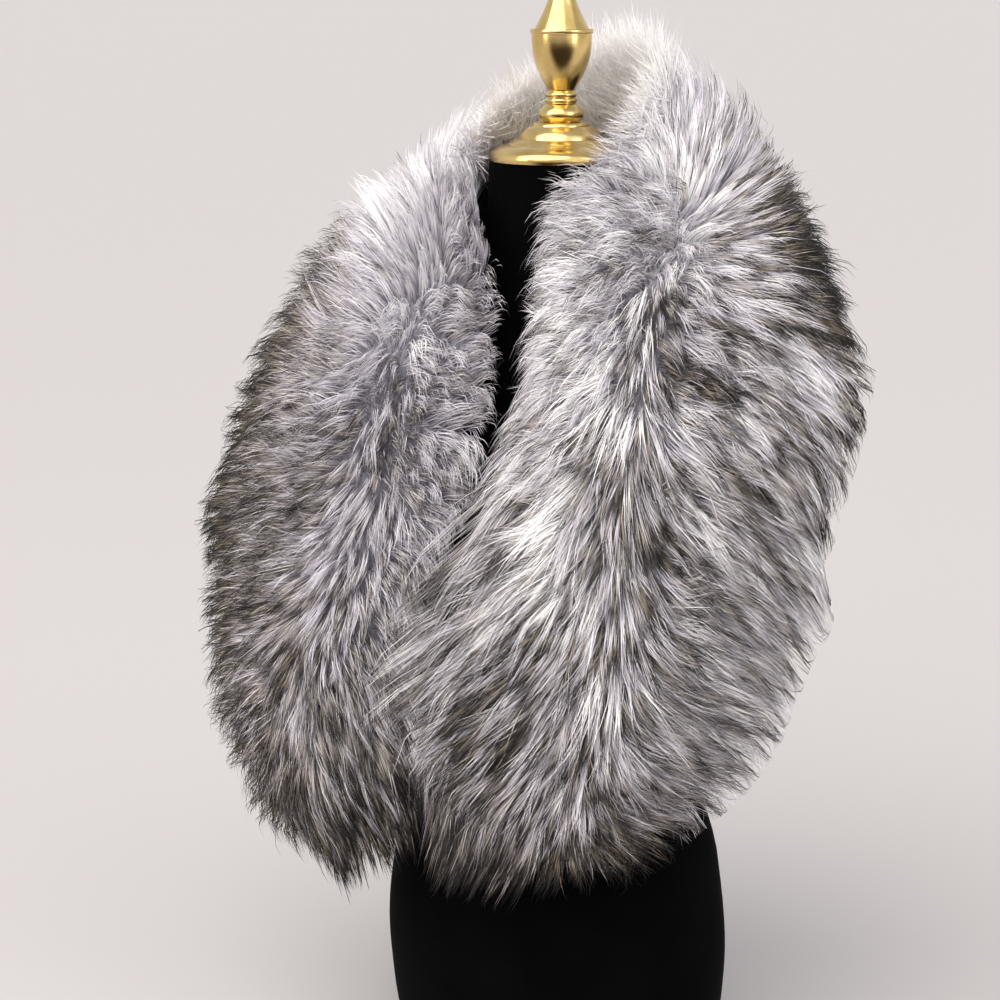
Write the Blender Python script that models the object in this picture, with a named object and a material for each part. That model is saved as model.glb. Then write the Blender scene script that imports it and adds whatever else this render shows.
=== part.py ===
"""Fur collar wrap worn round a limbless dress form.

Metres, +Z up, floor at z = 0. The wearer faces -Y and the wearer's left is +X.
The form is a padded torso with a flat underside, a turned neck cap and a turned finial.
The wrap is two mirrored strips of fur that meet at the centre back. Each strip runs from
the nape over a shoulder and down the front. It is a ground cloth with a pile on it, and
the pile is raised into pointed locks that lean the way the fur lies.
"""

import math

import bpy
import numpy as np

MM = 0.001

NECK_TOP = 0.810  # height of the neck's flat top above the floor
PIECE_GAP = 0.3 * MM  # clear space between two neighbouring pieces
FORM_CORNER = 2.3  # exponent of the torso's oval sections: 2 is an ellipse, more is squarer
FORM_SEGMENTS = 36  # points of each oval section
FORM_RINGS = 24  # sections from the underside to the neck's top
SHARP_ANGLE = math.radians(50)  # faces that meet at a wider angle than this keep a crease

CLOTH_WALL = 2.0 * MM  # thickness of the ground cloth
CLOTH_REST = -0.6 * MM  # from the torso's curved skin to the cloth; the skin's flat facets lie 1 mm inside it
CLOTH_ROWS = 28  # cells of the ground cloth from nape to end
CLOTH_COLUMNS = 8  # cells of the ground cloth across its width
PUSH_ROUNDS = 8  # rounds in which the cloth is pushed off the torso, each one nearer
LONGEST_PUSH = 20 * MM  # most that one round moves a point
SLOPE_PROBE = 0.5 * MM  # half the distance over which the torso's slope is measured
CAP_SKIRT = 2 * MM  # how far below the neck's top the cap's width already keeps the wrap away
COURSE_STEPS = 40  # steps per table row in which a strip's length is measured

LOCK_ROWS = 55  # cells of the pile's surface from nape to end; odd, so that the end row has points
LOCK_COLUMNS = 24  # cells of the pile's surface across its width
LOCK_ROOT = 0.70  # share of the fur's length at which neighbouring locks part
LOCK_VARIATION = 0.12  # share by which one lock is shorter than another
LOCK_WAVES = (2.1, 1.3)  # how fast that share changes from lock to lock, along and across
PILE_OFF_FORM = 0.05  # how near the pile comes to the torso and the cap, as a share of the section there
PILE_OVER_CAP = 3.0 * MM  # how near it comes to the neck cap from above
SHORTEST_PILE = 0.12  # least share of the fur's length where the form presses it down
LENGTHS_TRIED = 60  # shares tried, from the full length down, till the hair is clear of the form
CROSSING_ROUNDS = 12  # rounds in which the hair's crossing with the front line is found
FRONT_CLEARANCE = 0.6 * MM  # how far each half's fur stays from the line where the halves meet in front
FRONT_OPENING = 6.0 * MM  # the same at the top of the front opening
OPENING_FOOT = -0.36  # height from the neck's top at which the opening has closed
OPENING_HEAD = -0.27  # height from the neck's top above which it has its full width

# Torso sections: height from the neck's top, half width, depth in front of and behind the axis, in mm.
TORSO_SECTIONS = (
    # height, half_width, front, back
    (-810, 152, 110, 102),
    (-760, 160, 116, 105),
    (-700, 164, 120, 106),
    (-610, 154, 110, 102),
    (-510, 126, 94, 86),
    (-420, 136, 112, 88),
    (-340, 152, 134, 97),
    (-260, 158, 120, 104),
    (-200, 170, 97, 104),
    (-152, 178, 80, 94),
    (-132, 161, 72, 87),
    (-112, 118, 66, 78),
    (-91, 81, 61, 69),
    (-66, 63, 59.5, 61.5),
    (0, 58.5, 58.5, 58.5),
)

# Mouldings of the turned pieces, from the top down, in mm above the neck's top. The bulge is how far
# the middle of a moulding stands outside the straight line between its ends; a hollow has a negative one.
FINIAL_MOULDINGS = (
    # top, bottom, top_radius, bottom_radius, bulge, points
    (173, 157, 0.0, 4.5, 7.0, 7),
    (157, 154, 7.0, 7.0, 1.0, 3),
    (154, 109, 6.5, 23.0, -2.5, 6),
    (109, 105, 26.0, 26.0, 1.0, 3),
    (105, 58, 25.5, 11.0, 4.5, 7),
    (57, 52.5, 12.0, 12.0, 1.6, 4),
    (52, 47.5, 12.0, 12.0, 1.6, 4),
    (47, 32, 13.0, 16.0, 5.0, 6),
)
CAP_MOULDINGS = (
    # top, bottom, top_radius, bottom_radius, bulge, points
    (32, 29, 23.0, 25.0, 0.6, 3),
    (29, 18.5, 26.5, 36.0, 2.0, 5),
    (18.5, 13.2, 38.0, 46.5, 0.8, 3),
    (13, 7, 49.5, 59.8, 1.6, 5),
    (7, 0, 60.0, 60.5, 0.6, 3),
)
FINIAL_SEGMENTS = 28
CAP_SEGMENTS = 44
SHORTEST_STEP = 0.2 * MM  # points of a turned outline nearer than this are made one
SPIN_MERGE = 0.0001  # points this near the axis are made one when an outline is spun, in metres

# Edges of each half of the wrap from the nape to its end, in mm from the neck's top on the torso's axis.
# x is away from the middle of the body. The inner edge lies by the neck and along the front opening.
# arch: how far the cloth's middle stands out from the straight line between its edges.
# pile: length of the hair. fan_in, fan_out: angle in degrees to which the hair turns at the two edges.
WRAP_LEFT = (
    # in_x, in_y, in_z, out_x, out_y, out_z, arch, pile, fan_in, fan_out
    (0, 80, 18, 0, 99, -182, 22, 88, 72, 100),
    (56, 64, 27, 126, 99, -188, 22, 88, 80, 100),
    (74, 10, -10, 206, 50, -212, 20, 80, 92, 100),
    (56, -56, -48, 241, 0, -248, 20.2, 68, 98, 100),
    (60, -92, -130, 237, -32, -296, 38, 58, 100, 100),
    (58, -128, -216, 227, -46, -346, 42, 54, 100, 100),
    (48, -158, -304, 210, -58, -402, 44, 57, 100, 100),
    (30, -170, -390, 184, -78, -456, 40, 56, 100, 100),
    (14, -164, -466, 140, -98, -508, 32, 58, 95, 95),
    (10, -154, -522, 114, -114, -536, 22, 58, 88, 88),
)
WRAP_RIGHT = (
    # in_x, in_y, in_z, out_x, out_y, out_z, arch, pile, fan_in, fan_out
    (0, 80, 18, 0, 99, -182, 22, 88, 72, 100),
    (56, 64, 8, 128, 99, -188, 22, 90, 80, 100),
    (74, 10, -15, 214, 44, -214, 14, 106, 92, 100),
    (54, -52, -48, 270, -18, -252, 10, 94, 98, 100),
    (22, -92, -130, 284, -60, -298, 44, 78, 100, 100),
    (16, -132, -218, 271, -84, -350, 46, 68, 100, 100),
    (30, -160, -312, 258, -98, -414, 44, 64, 100, 100),
    (58, -168, -402, 242, -110, -480, 40, 62, 100, 100),
    (68, -162, -482, 204, -120, -544, 32, 62, 95, 95),
    (76, -148, -542, 150, -128, -586, 22, 62, 90, 90),
)

# Line where the two halves' fur meets in front: height from the neck's top and x, in mm.
FRONT_MEETING = (
    # height, x
    (-700, -20),
    (-430, -20),
    (-350, 2),
    (-250, 34),
    (-140, 30),
    (-40, 16),
    (200, 0),
)

LEAN_SHARE = 0.22  # share of the half's length over which the fur's downward lean grows from none
LEAN_BODY = math.radians(42)  # lean of the hair towards the end, along the strip
LEAN_END = math.radians(66)  # lean of the last row, which closes the end
END_SHARE = 0.86  # share of the length where the lean starts to grow to that of the end

TORSO_ROWS = np.array(TORSO_SECTIONS, float) * MM
CAP_TOP = CAP_MOULDINGS[0][0] * MM
CAP_RADIUS = (CAP_MOULDINGS[-1][3] + CAP_MOULDINGS[-1][4]) * MM


def clear_scene():
    for old in list(bpy.data.objects):
        bpy.data.objects.remove(old, do_unlink=True)


def surface_material(name, colour, roughness, metallic):
    material = bpy.data.materials.new(name)
    material.use_nodes = True
    shader = material.node_tree.nodes["Principled BSDF"]
    shader.inputs["Base Color"].default_value = (*colour, 1.0)
    shader.inputs["Roughness"].default_value = roughness
    shader.inputs["Metallic"].default_value = metallic
    return material


def shade_round(mesh):
    """Smooth shading, with a crease where two faces meet at a wide angle."""
    mesh.shade_smooth()
    mesh.set_sharp_from_angle(angle=SHARP_ANGLE)


def add_mesh(name, points, faces, material):
    """One named object from points and faces, its faces turned outwards."""
    mesh = bpy.data.meshes.new(name)
    mesh.from_pydata([tuple(p) for p in points], [], faces)
    mesh.materials.append(material)
    piece = bpy.data.objects.new(name, mesh)
    bpy.context.collection.objects.link(piece)
    bpy.ops.object.select_all(action="DESELECT")
    piece.select_set(True)
    bpy.context.view_layer.objects.active = piece
    bpy.ops.object.mode_set(mode="EDIT")
    bpy.ops.mesh.select_all(action="SELECT")
    bpy.ops.mesh.normals_make_consistent(inside=False)
    bpy.ops.object.mode_set(mode="OBJECT")
    shade_round(mesh)
    return piece


def unit(vectors):
    return vectors / np.linalg.norm(vectors, axis=-1, keepdims=True)


def smooth_step(x):
    x = np.clip(x, 0, 1)
    return x * x * (3 - 2 * x)


def even_curve(at, knots, rows):
    """Smooth curve through the rows at the knots, read at each value of `at`.

    A cubic between each two rows. At a turning point its slope is level, so it never passes the rows.
    """
    step = np.diff(knots)[:, None]
    slope = np.diff(rows, axis=0) / step
    tangent = np.empty_like(rows)
    tangent[0], tangent[-1] = slope[0], slope[-1]
    before, after = slope[:-1], slope[1:]
    product = before * after
    total = np.where(product > 0, before + after, 1)
    tangent[1:-1] = np.where(product > 0, 2 * product / total, 0)
    cell = np.clip(np.searchsorted(knots, at) - 1, 0, len(knots) - 2)
    u = ((at - knots[cell]) / step[cell, 0])[..., None]
    span = step[cell]
    return (
        (2 * u**3 - 3 * u**2 + 1) * rows[cell]
        + (u**3 - 2 * u**2 + u) * span * tangent[cell]
        + (3 * u**2 - 2 * u**3) * rows[cell + 1]
        + (u**3 - u**2) * span * tangent[cell + 1]
    )


def round_curve(at, rows):
    """Smooth curve through rows that stand one apart: a cubic whose slope at a row is half the step
    between its neighbours."""
    knots = np.arange(len(rows), dtype=float)
    tangent = np.gradient(rows, axis=0)
    cell = np.clip(np.searchsorted(knots, at) - 1, 0, len(rows) - 2)
    u = (at - knots[cell])[:, None]
    return (
        (2 * u**3 - 3 * u**2 + 1) * rows[cell]
        + (u**3 - 2 * u**2 + u) * tangent[cell]
        + (3 * u**2 - 2 * u**3) * rows[cell + 1]
        + (u**3 - u**2) * tangent[cell + 1]
    )


def torso_sizes(height):
    """Half width, front depth and back depth at a height from the neck's top."""
    sizes = even_curve(height, TORSO_ROWS[:, 0], TORSO_ROWS[:, 1:])
    return sizes[..., 0], sizes[..., 1], sizes[..., 2]


def torso_reach(points):
    """How far a point lies out from the torso's axis, as a share of the section there: 1 is the skin.

    Up to the cap's top the section is the cap's circle, so that nothing enters it either.
    """
    height = np.clip(points[..., 2], TORSO_ROWS[0, 0], 0)
    width, front, back = torso_sizes(height)
    depth = np.where(points[..., 1] < 0, front, back)
    by_cap = points[..., 2] > -CAP_SKIRT
    width = np.where(by_cap, np.maximum(width, CAP_RADIUS), width)
    depth = np.where(by_cap, np.maximum(depth, CAP_RADIUS), depth)
    across = np.abs(points[..., 0]) / width
    through = np.abs(points[..., 1]) / depth
    return (across**FORM_CORNER + through**FORM_CORNER) ** (1 / FORM_CORNER)


def push_off_torso(points, clearance):
    """Points nearer to the torso's skin than the clearance are moved straight out to it."""
    points = points.copy()
    for _ in range(PUSH_ROUNDS):
        slopes = []
        for axis in np.eye(3) * SLOPE_PROBE:
            rise = torso_reach(points + axis) - torso_reach(points - axis)
            slopes.append(rise / (2 * SLOPE_PROBE))
        slope = np.stack(slopes, axis=-1)
        steepness = np.linalg.norm(slope, axis=-1)
        distance = (torso_reach(points) - 1) / steepness
        push = np.clip(clearance - distance, 0, LONGEST_PUSH)
        points += slope * (push / steepness)[..., None]
    return points


def build_form(material):
    """The torso: one oval ring for each height, closed by a flat face below and one on the neck."""
    share = np.linspace(0, 1, FORM_RINGS)
    knots = np.linspace(0, 1, len(TORSO_ROWS))
    heights = even_curve(share, knots, TORSO_ROWS[:, :1])[:, 0]
    width, front, back = torso_sizes(heights)
    angle = np.arange(FORM_SEGMENTS) * 2 * math.pi / FORM_SEGMENTS
    across = np.sign(np.cos(angle)) * np.abs(np.cos(angle)) ** (2 / FORM_CORNER)
    through = np.sign(np.sin(angle)) * np.abs(np.sin(angle)) ** (2 / FORM_CORNER)
    depth = np.where(through[None, :] < 0, front[:, None], back[:, None])
    x = width[:, None] * across[None, :]
    y = depth * through[None, :]
    z = np.repeat(heights[:, None] + NECK_TOP, FORM_SEGMENTS, axis=1)
    points = np.stack([x, y, z], axis=-1).reshape(-1, 3)
    faces = []
    for ring in range(FORM_RINGS - 1):
        for k in range(FORM_SEGMENTS):
            after = (k + 1) % FORM_SEGMENTS
            low, high = ring * FORM_SEGMENTS, (ring + 1) * FORM_SEGMENTS
            faces.append((low + k, low + after, high + after, high + k))
    faces.append(tuple(range(FORM_SEGMENTS)))
    faces.append(tuple((FORM_RINGS - 1) * FORM_SEGMENTS + k for k in range(FORM_SEGMENTS)))
    return add_mesh("form_body", points, faces, material)


def turned_piece(name, mouldings, segments, foot, material):
    """A lathe-turned piece: the outer side from the top down, spun round the axis."""
    outline = []
    for top, bottom, top_radius, bottom_radius, bulge, count in mouldings:
        for k in range(count):
            u = k / (count - 1)
            radius = top_radius + (bottom_radius - top_radius) * u + bulge * math.sin(math.pi * u)
            outline.append((radius * MM, (top + (bottom - top) * u) * MM))
    outline.insert(0, (0.0, outline[0][1]))
    outline.append((0.0, outline[-1][1]))
    kept = [outline[0]]
    for radius, height in outline[1:]:
        if math.hypot(radius - kept[-1][0], height - kept[-1][1]) > SHORTEST_STEP:
            kept.append((radius, height))
    mesh = bpy.data.meshes.new(name)
    points = [(radius, 0, height + NECK_TOP + foot) for radius, height in kept]
    mesh.from_pydata(points, [(k, k + 1) for k in range(len(kept) - 1)], [])
    mesh.materials.append(material)
    piece = bpy.data.objects.new(name, mesh)
    bpy.context.collection.objects.link(piece)
    spin = piece.modifiers.new("spin", "SCREW")
    spin.steps = segments
    spin.render_steps = segments
    spin.use_merge_vertices = True
    spin.merge_threshold = SPIN_MERGE
    bpy.context.view_layer.objects.active = piece
    bpy.ops.object.modifier_apply(modifier=spin.name)
    shade_round(mesh)
    return piece


def even_rows(data, rows):
    """Where the rows stand, so that the cloth's middle and the hair's outer tips are cut evenly."""
    fine = np.linspace(0, len(data) - 1, COURSE_STEPS * len(data))
    course = round_curve(fine, data)
    middle = (course[:, 0:3] + course[:, 3:6]) / 2
    tips = course[:, 3:6] + unit(course[:, 3:6] - course[:, 0:3]) * course[:, 7:8]
    steps = np.linalg.norm(np.diff(middle, axis=0), axis=1)
    steps = steps + np.linalg.norm(np.diff(tips, axis=0), axis=1)
    travelled = np.concatenate([[0], np.cumsum(steps)])
    return np.interp(np.linspace(0, travelled[-1], rows + 1), travelled, fine)


def strip(table, side, rows):
    """The half's course at a number of rows: its middle line, directions and hair sizes."""
    data = np.array(table, float)
    data[:, :8] *= MM
    data[:, [0, 3]] *= side
    data[:, 8:] = np.radians(data[:, 8:])
    at = even_rows(data, rows)
    course = round_curve(at, data)
    inner, outer = course[:, 0:3], course[:, 3:6]
    middle = (inner + outer) / 2
    across = outer - inner
    half_width = np.linalg.norm(across, axis=1) / 2
    across = unit(across)
    along = unit(np.gradient(middle, at, axis=0))
    along[0] = (side, 0, 0)
    outward = unit(np.cross(along, across) * side)
    share = at / at[-1]
    lean = LEAN_BODY * smooth_step(share / LEAN_SHARE)
    lean = lean + (LEAN_END - LEAN_BODY) * smooth_step((share - END_SHARE) / (1 - END_SHARE))
    return {
        "middle": middle,
        "half_width": half_width,
        "across": across,
        "along": along,
        "outward": outward,
        "arch": course[:, 6],
        "pile": course[:, 7],
        "fan_in": course[:, 8],
        "fan_out": course[:, 9],
        "lean": lean,
    }


def cloth_points(course, columns):
    """Inner face of the ground cloth: an arched strip, held off the torso where it would enter it."""
    t = np.linspace(-1, 1, columns + 1)[None, :, None]
    to_edge = course["across"] * course["half_width"][:, None]
    to_crown = course["outward"] * course["arch"][:, None]
    arched = course["middle"][:, None] + to_edge[:, None] * t + to_crown[:, None] * (1 - t**2)
    return push_off_torso(arched, CLOTH_REST)


def grid_normals(grid, toward):
    """Unit normals of a grid of points, on the side that `toward` points to."""
    normals = unit(np.cross(np.gradient(grid, axis=0), np.gradient(grid, axis=1)))
    facing = np.sign(np.sum(normals * toward, axis=-1, keepdims=True))
    return normals * facing


def hair_directions(course, columns):
    """Direction of the hair at each root: it fans out across the strip and leans along it."""
    t = np.linspace(-1, 1, columns + 1)[None, :]
    turn = np.where(t < 0, course["fan_in"][:, None], course["fan_out"][:, None]) * t
    turn = turn[..., None]
    lean = course["lean"][:, None, None]
    upright = course["across"][:, None] * np.sin(turn) + course["outward"][:, None] * np.cos(turn)
    return upright * np.cos(lean) + course["along"][:, None] * np.sin(lean)


def lock_lengths(rows, columns):
    """Share of the full length at each point of the pile's surface, and which points are a lock's tip.

    Tips stand at every second point of every second row, one row's between the next one's.
    """
    i = np.arange(rows + 1)[:, None]
    j = np.arange(columns + 1)[None, :]
    tips = (i % 2 == 1) & ((j + i // 2) % 2 == 0)
    wave = np.sin(LOCK_WAVES[0] * i + LOCK_WAVES[1] * j * j)
    shorter = LOCK_VARIATION * (1 + wave) / 2
    return np.where(tips, 1 - shorter, LOCK_ROOT), tips


def held_lengths(roots, reach, side):
    """Largest share of the hair's reach that stays off the form and on its own side in front."""
    held = np.ones(roots.shape[:2])
    for share in np.linspace(1, SHORTEST_PILE, LENGTHS_TRIED):
        tip = roots + reach * share
        blocked = torso_reach(tip) - 1 < PILE_OFF_FORM
        blocked &= tip[..., 2] < CAP_TOP + PILE_OVER_CAP
        held = np.where(blocked, np.minimum(held, share), held)
    meeting = np.array(FRONT_MEETING, float) * MM
    inward = reach[..., 0] * side < 0
    travel = np.where(inward, reach[..., 0], 1)
    crossing = np.ones(roots.shape[:2])
    for _ in range(CROSSING_ROUNDS):
        height = roots[..., 2] + reach[..., 2] * crossing
        opened = smooth_step((height - OPENING_FOOT) / (OPENING_HEAD - OPENING_FOOT))
        line = even_curve(height, meeting[:, 0], meeting[:, 1:])[..., 0]
        limit = line + side * (FRONT_CLEARANCE + FRONT_OPENING * opened)
        crossing = np.where(inward, np.clip((limit - roots[..., 0]) / travel, SHORTEST_PILE, 1), 1)
    return np.where(roots[..., 1] < 0, np.minimum(held, crossing), held)


def grid_faces(rows, columns, first, tips=None):
    """Triangles of a grid of points, each cell split along the line that meets a lock's tip."""
    faces = []
    for i in range(rows):
        for j in range(columns):
            a = first + i * (columns + 1) + j
            b, c, d = a + 1, a + columns + 2, a + columns + 1
            if tips is not None and (tips[i, j + 1] or tips[i + 1, j]):
                faces += [(a, b, d), (b, c, d)]
            else:
                faces += [(a, b, c), (a, c, d)]
    return faces


def border(rows, columns, first):
    """The four sides of a grid, in order round it, each from corner to corner."""
    across = columns + 1
    start = [first + j for j in range(across)]
    outer_side = [first + i * across + columns for i in range(rows + 1)]
    end = [first + rows * across + j for j in reversed(range(across))]
    inner_side = [first + i * across for i in reversed(range(rows + 1))]
    return start, outer_side, end, inner_side


def join_sides(one, other):
    """Triangles between two chains of points that run side by side, whatever their counts."""
    faces = []
    i, j = 0, 0
    while i < len(one) - 1 or j < len(other) - 1:
        step_one = (i + 1) / (len(one) - 1) if i < len(one) - 1 else 2
        step_other = (j + 1) / (len(other) - 1) if j < len(other) - 1 else 2
        if step_one <= step_other:
            faces.append((one[i], one[i + 1], other[j]))
            i += 1
        else:
            faces.append((one[i], other[j + 1], other[j]))
            j += 1
    return faces


def slab(name, lower, upper, tips, material):
    """Closed solid between two grids of points, joined round their borders."""
    low_rows, low_columns = lower.shape[0] - 1, lower.shape[1] - 1
    high_rows, high_columns = upper.shape[0] - 1, upper.shape[1] - 1
    first = lower.shape[0] * lower.shape[1]
    points = np.concatenate([lower.reshape(-1, 3), upper.reshape(-1, 3)])
    points = points + np.array([0, 0, NECK_TOP])
    faces = [face[::-1] for face in grid_faces(low_rows, low_columns, 0)]
    faces += grid_faces(high_rows, high_columns, first, tips)
    low_border = border(low_rows, low_columns, 0)
    high_border = border(high_rows, high_columns, first)
    for low_side, high_side in zip(low_border, high_border):
        faces += join_sides(low_side, high_side)
    return add_mesh(name, points, faces, material)


def keep_to_side(points, side):
    """Points at or past the centre-back plane are brought to their own side of the seam."""
    points = points.copy()
    past = (points[..., 0] * side < PIECE_GAP / 2) & (points[..., 1] > 0)
    points[..., 0] = np.where(past, side * PIECE_GAP / 2, points[..., 0])
    return points


def build_half(label, table, side, cloth_material, fur_material):
    """Ground cloth and pile of one half of the wrap. Side is 1 for the wearer's left, -1 for the right."""
    course = strip(table, side, CLOTH_ROWS)
    inside = cloth_points(course, CLOTH_COLUMNS)
    normals = grid_normals(inside, course["outward"][:, None])
    outside = keep_to_side(inside + normals * CLOTH_WALL, side)
    slab("backing_" + label, keep_to_side(inside, side), outside, None, cloth_material)

    roots_below = keep_to_side(inside + normals * (CLOTH_WALL + PIECE_GAP), side)
    fine = strip(table, side, LOCK_ROWS)
    fine_inside = cloth_points(fine, LOCK_COLUMNS)
    fine_normals = grid_normals(fine_inside, fine["outward"][:, None])
    roots = fine_inside + fine_normals * (CLOTH_WALL + PIECE_GAP)
    reach = hair_directions(fine, LOCK_COLUMNS) * fine["pile"][:, None, None]
    lengths, tips = lock_lengths(LOCK_ROWS, LOCK_COLUMNS)
    lengths = np.minimum(lengths, held_lengths(roots, reach, side))
    surface = keep_to_side(roots + reach * lengths[..., None], side)
    slab("fur_" + label, roots_below, surface, tips, fur_material)


def main():
    clear_scene()
    black_cover = surface_material("black_velvet_cover", (0.006, 0.006, 0.007), 0.85, 0.0)
    gold = surface_material("polished_gold", (0.80, 0.58, 0.22), 0.16, 1.0)
    ground = surface_material("fur_ground_cloth", (0.33, 0.33, 0.36), 0.9, 0.0)
    fur = surface_material("silver_grey_fur", (0.36, 0.35, 0.39), 0.8, 0.0)
    build_form(black_cover)
    turned_piece("neck_cap", CAP_MOULDINGS, CAP_SEGMENTS, PIECE_GAP, gold)
    turned_piece("finial", FINIAL_MOULDINGS, FINIAL_SEGMENTS, 2 * PIECE_GAP, gold)
    build_half("left", WRAP_LEFT, 1, ground, fur)
    build_half("right", WRAP_RIGHT, -1, ground, fur)


main()
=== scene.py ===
"""Finish of the fur collar wrap on its dress form: ground cloth, layered fur, velvet and polished gold.

Metres, +Z up, floor at z = 0. The wearer faces -Y and the wearer's left is +X.

Each half of the wrap is a strip from the nape (s = 0) over the shoulder to its end in front (s = 1).
Across the strip t goes from -1 at the inner edge, by the neck and the front opening, to 1 at the outer edge.
A third number, the depth d, goes from 0 at the ground cloth to 1 at the fur's outer surface.
Every hair is a path through (s, t, d), so it follows the wrap's curves and stays in the fur's own space.
"""

import math
from types import SimpleNamespace

import bpy
import numpy as np
from mathutils import Matrix, Vector

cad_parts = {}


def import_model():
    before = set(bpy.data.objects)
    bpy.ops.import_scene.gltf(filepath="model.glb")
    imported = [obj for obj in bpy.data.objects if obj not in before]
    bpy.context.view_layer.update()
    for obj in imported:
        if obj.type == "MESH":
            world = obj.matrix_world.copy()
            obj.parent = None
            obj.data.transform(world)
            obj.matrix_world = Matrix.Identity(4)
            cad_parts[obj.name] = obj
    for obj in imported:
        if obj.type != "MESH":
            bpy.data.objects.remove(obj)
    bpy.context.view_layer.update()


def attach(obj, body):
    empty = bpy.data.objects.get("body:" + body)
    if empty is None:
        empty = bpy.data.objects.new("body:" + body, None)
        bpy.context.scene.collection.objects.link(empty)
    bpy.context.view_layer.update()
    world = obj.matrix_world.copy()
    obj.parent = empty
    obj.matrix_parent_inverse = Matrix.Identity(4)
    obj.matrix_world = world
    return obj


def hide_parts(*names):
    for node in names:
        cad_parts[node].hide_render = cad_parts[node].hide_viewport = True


MM = 0.001

NECK_TOP = 0.810  # height of the neck's flat top above the floor
FROM_FLOOR = np.array([0, 0, NECK_TOP])  # from the floor to the place that the tables measure from
FORM_CORNER = 2.3  # exponent of the torso's oval sections
CLOTH_WALL = 1.6 * MM
CLOTH_LIFT = 0.2 * MM  # how far the sheet's inner face lies within its solid's wall
CLOTH_REST = -0.6 * MM  # from the torso's curved skin to the cloth; the solid's flat facets lie inside it
FUR_ROOT = 2.3 * MM  # from the cloth's inner face to the hair's roots
CAP_SKIRT = 2 * MM  # how far below the neck's top the cap's width already keeps the wrap away
CAP_TOP = 32 * MM  # height of the neck cap's own top
CAP_RADIUS = 61.1 * MM  # within which the wrap keeps off it
PILE_OFF_FORM = 0.05  # how near the pile comes to the torso and the cap, as a share of the section there
PILE_OVER_CAP = 3.0 * MM  # how near it comes to the neck cap from above
SHORTEST_PILE = 0.12  # least share of the fur's length where the form presses it down
FRONT_CLEARANCE = 0.6 * MM  # how far each half's fur stays from the line where the halves meet in front
FRONT_OPENING = 6.0 * MM  # the same at the top of the front opening
OPENING_HEIGHTS = (-0.36, -0.27)  # from the neck's top: where the opening has closed, and has its full width

TORSO_SECTIONS = (
    # height from the neck's top, half_width, front, back, in mm
    (-810, 152, 110, 102),
    (-760, 160, 116, 105),
    (-700, 164, 120, 106),
    (-610, 154, 110, 102),
    (-510, 126, 94, 86),
    (-420, 136, 112, 88),
    (-340, 152, 134, 97),
    (-260, 158, 120, 104),
    (-200, 170, 97, 104),
    (-152, 178, 80, 94),
    (-132, 161, 72, 87),
    (-112, 118, 66, 78),
    (-91, 81, 61, 69),
    (-66, 63, 59.5, 61.5),
    (0, 58.5, 58.5, 58.5),
)

# Edges of each half of the wrap, in mm from the neck's top on the torso's axis, as the solids have them.
WRAP_LEFT = (
    # in_x, in_y, in_z, out_x, out_y, out_z, arch, pile, fan_in, fan_out
    (0, 80, 18, 0, 99, -182, 22, 88, 72, 100),
    (56, 64, 27, 126, 99, -188, 22, 88, 80, 100),
    (74, 10, -10, 206, 50, -212, 20, 80, 92, 100),
    (56, -56, -48, 241, 0, -248, 20.2, 68, 98, 100),
    (60, -92, -130, 237, -32, -296, 38, 58, 100, 100),
    (58, -128, -216, 227, -46, -346, 42, 54, 100, 100),
    (48, -158, -304, 210, -58, -402, 44, 57, 100, 100),
    (30, -170, -390, 184, -78, -456, 40, 56, 100, 100),
    (14, -164, -466, 140, -98, -508, 32, 58, 95, 95),
    (10, -154, -522, 114, -114, -536, 22, 58, 88, 88),
)
WRAP_RIGHT = (
    # in_x, in_y, in_z, out_x, out_y, out_z, arch, pile, fan_in, fan_out
    (0, 80, 18, 0, 99, -182, 22, 88, 72, 100),
    (56, 64, 8, 128, 99, -188, 22, 90, 80, 100),
    (74, 10, -15, 214, 44, -214, 14, 106, 92, 100),
    (54, -52, -48, 270, -18, -252, 10, 94, 98, 100),
    (22, -92, -130, 284, -60, -298, 44, 78, 100, 100),
    (16, -132, -218, 271, -84, -350, 46, 68, 100, 100),
    (30, -160, -312, 258, -98, -414, 44, 64, 100, 100),
    (58, -168, -402, 242, -110, -480, 40, 62, 100, 100),
    (68, -162, -482, 204, -120, -544, 32, 62, 95, 95),
    (76, -148, -542, 150, -128, -586, 22, 62, 90, 90),
)
FRONT_MEETING = (
    # height from the neck's top, x, in mm
    (-700, -20),
    (-430, -20),
    (-350, 2),
    (-250, 34),
    (-140, 30),
    (-40, 16),
    (200, 0),
)
LEAN_FROM = (0.0, 0.22)  # shares of the half's length between which the pile's lean along it grows from none
LEAN_BODY = math.radians(42)
LEAN_END = math.radians(66)  # lean of the last row, which closes the end
LEAN_END_FROM = (0.86, 1.0)  # shares of the length between which the lean grows to that of the end
DRIFT_UNTIL = (0.72, 0.97)  # shares of the length between which the combed hair comes to lean with the pile
DRIFT_OUTER = 0.20  # how much later that begins at the outer edge

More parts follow.
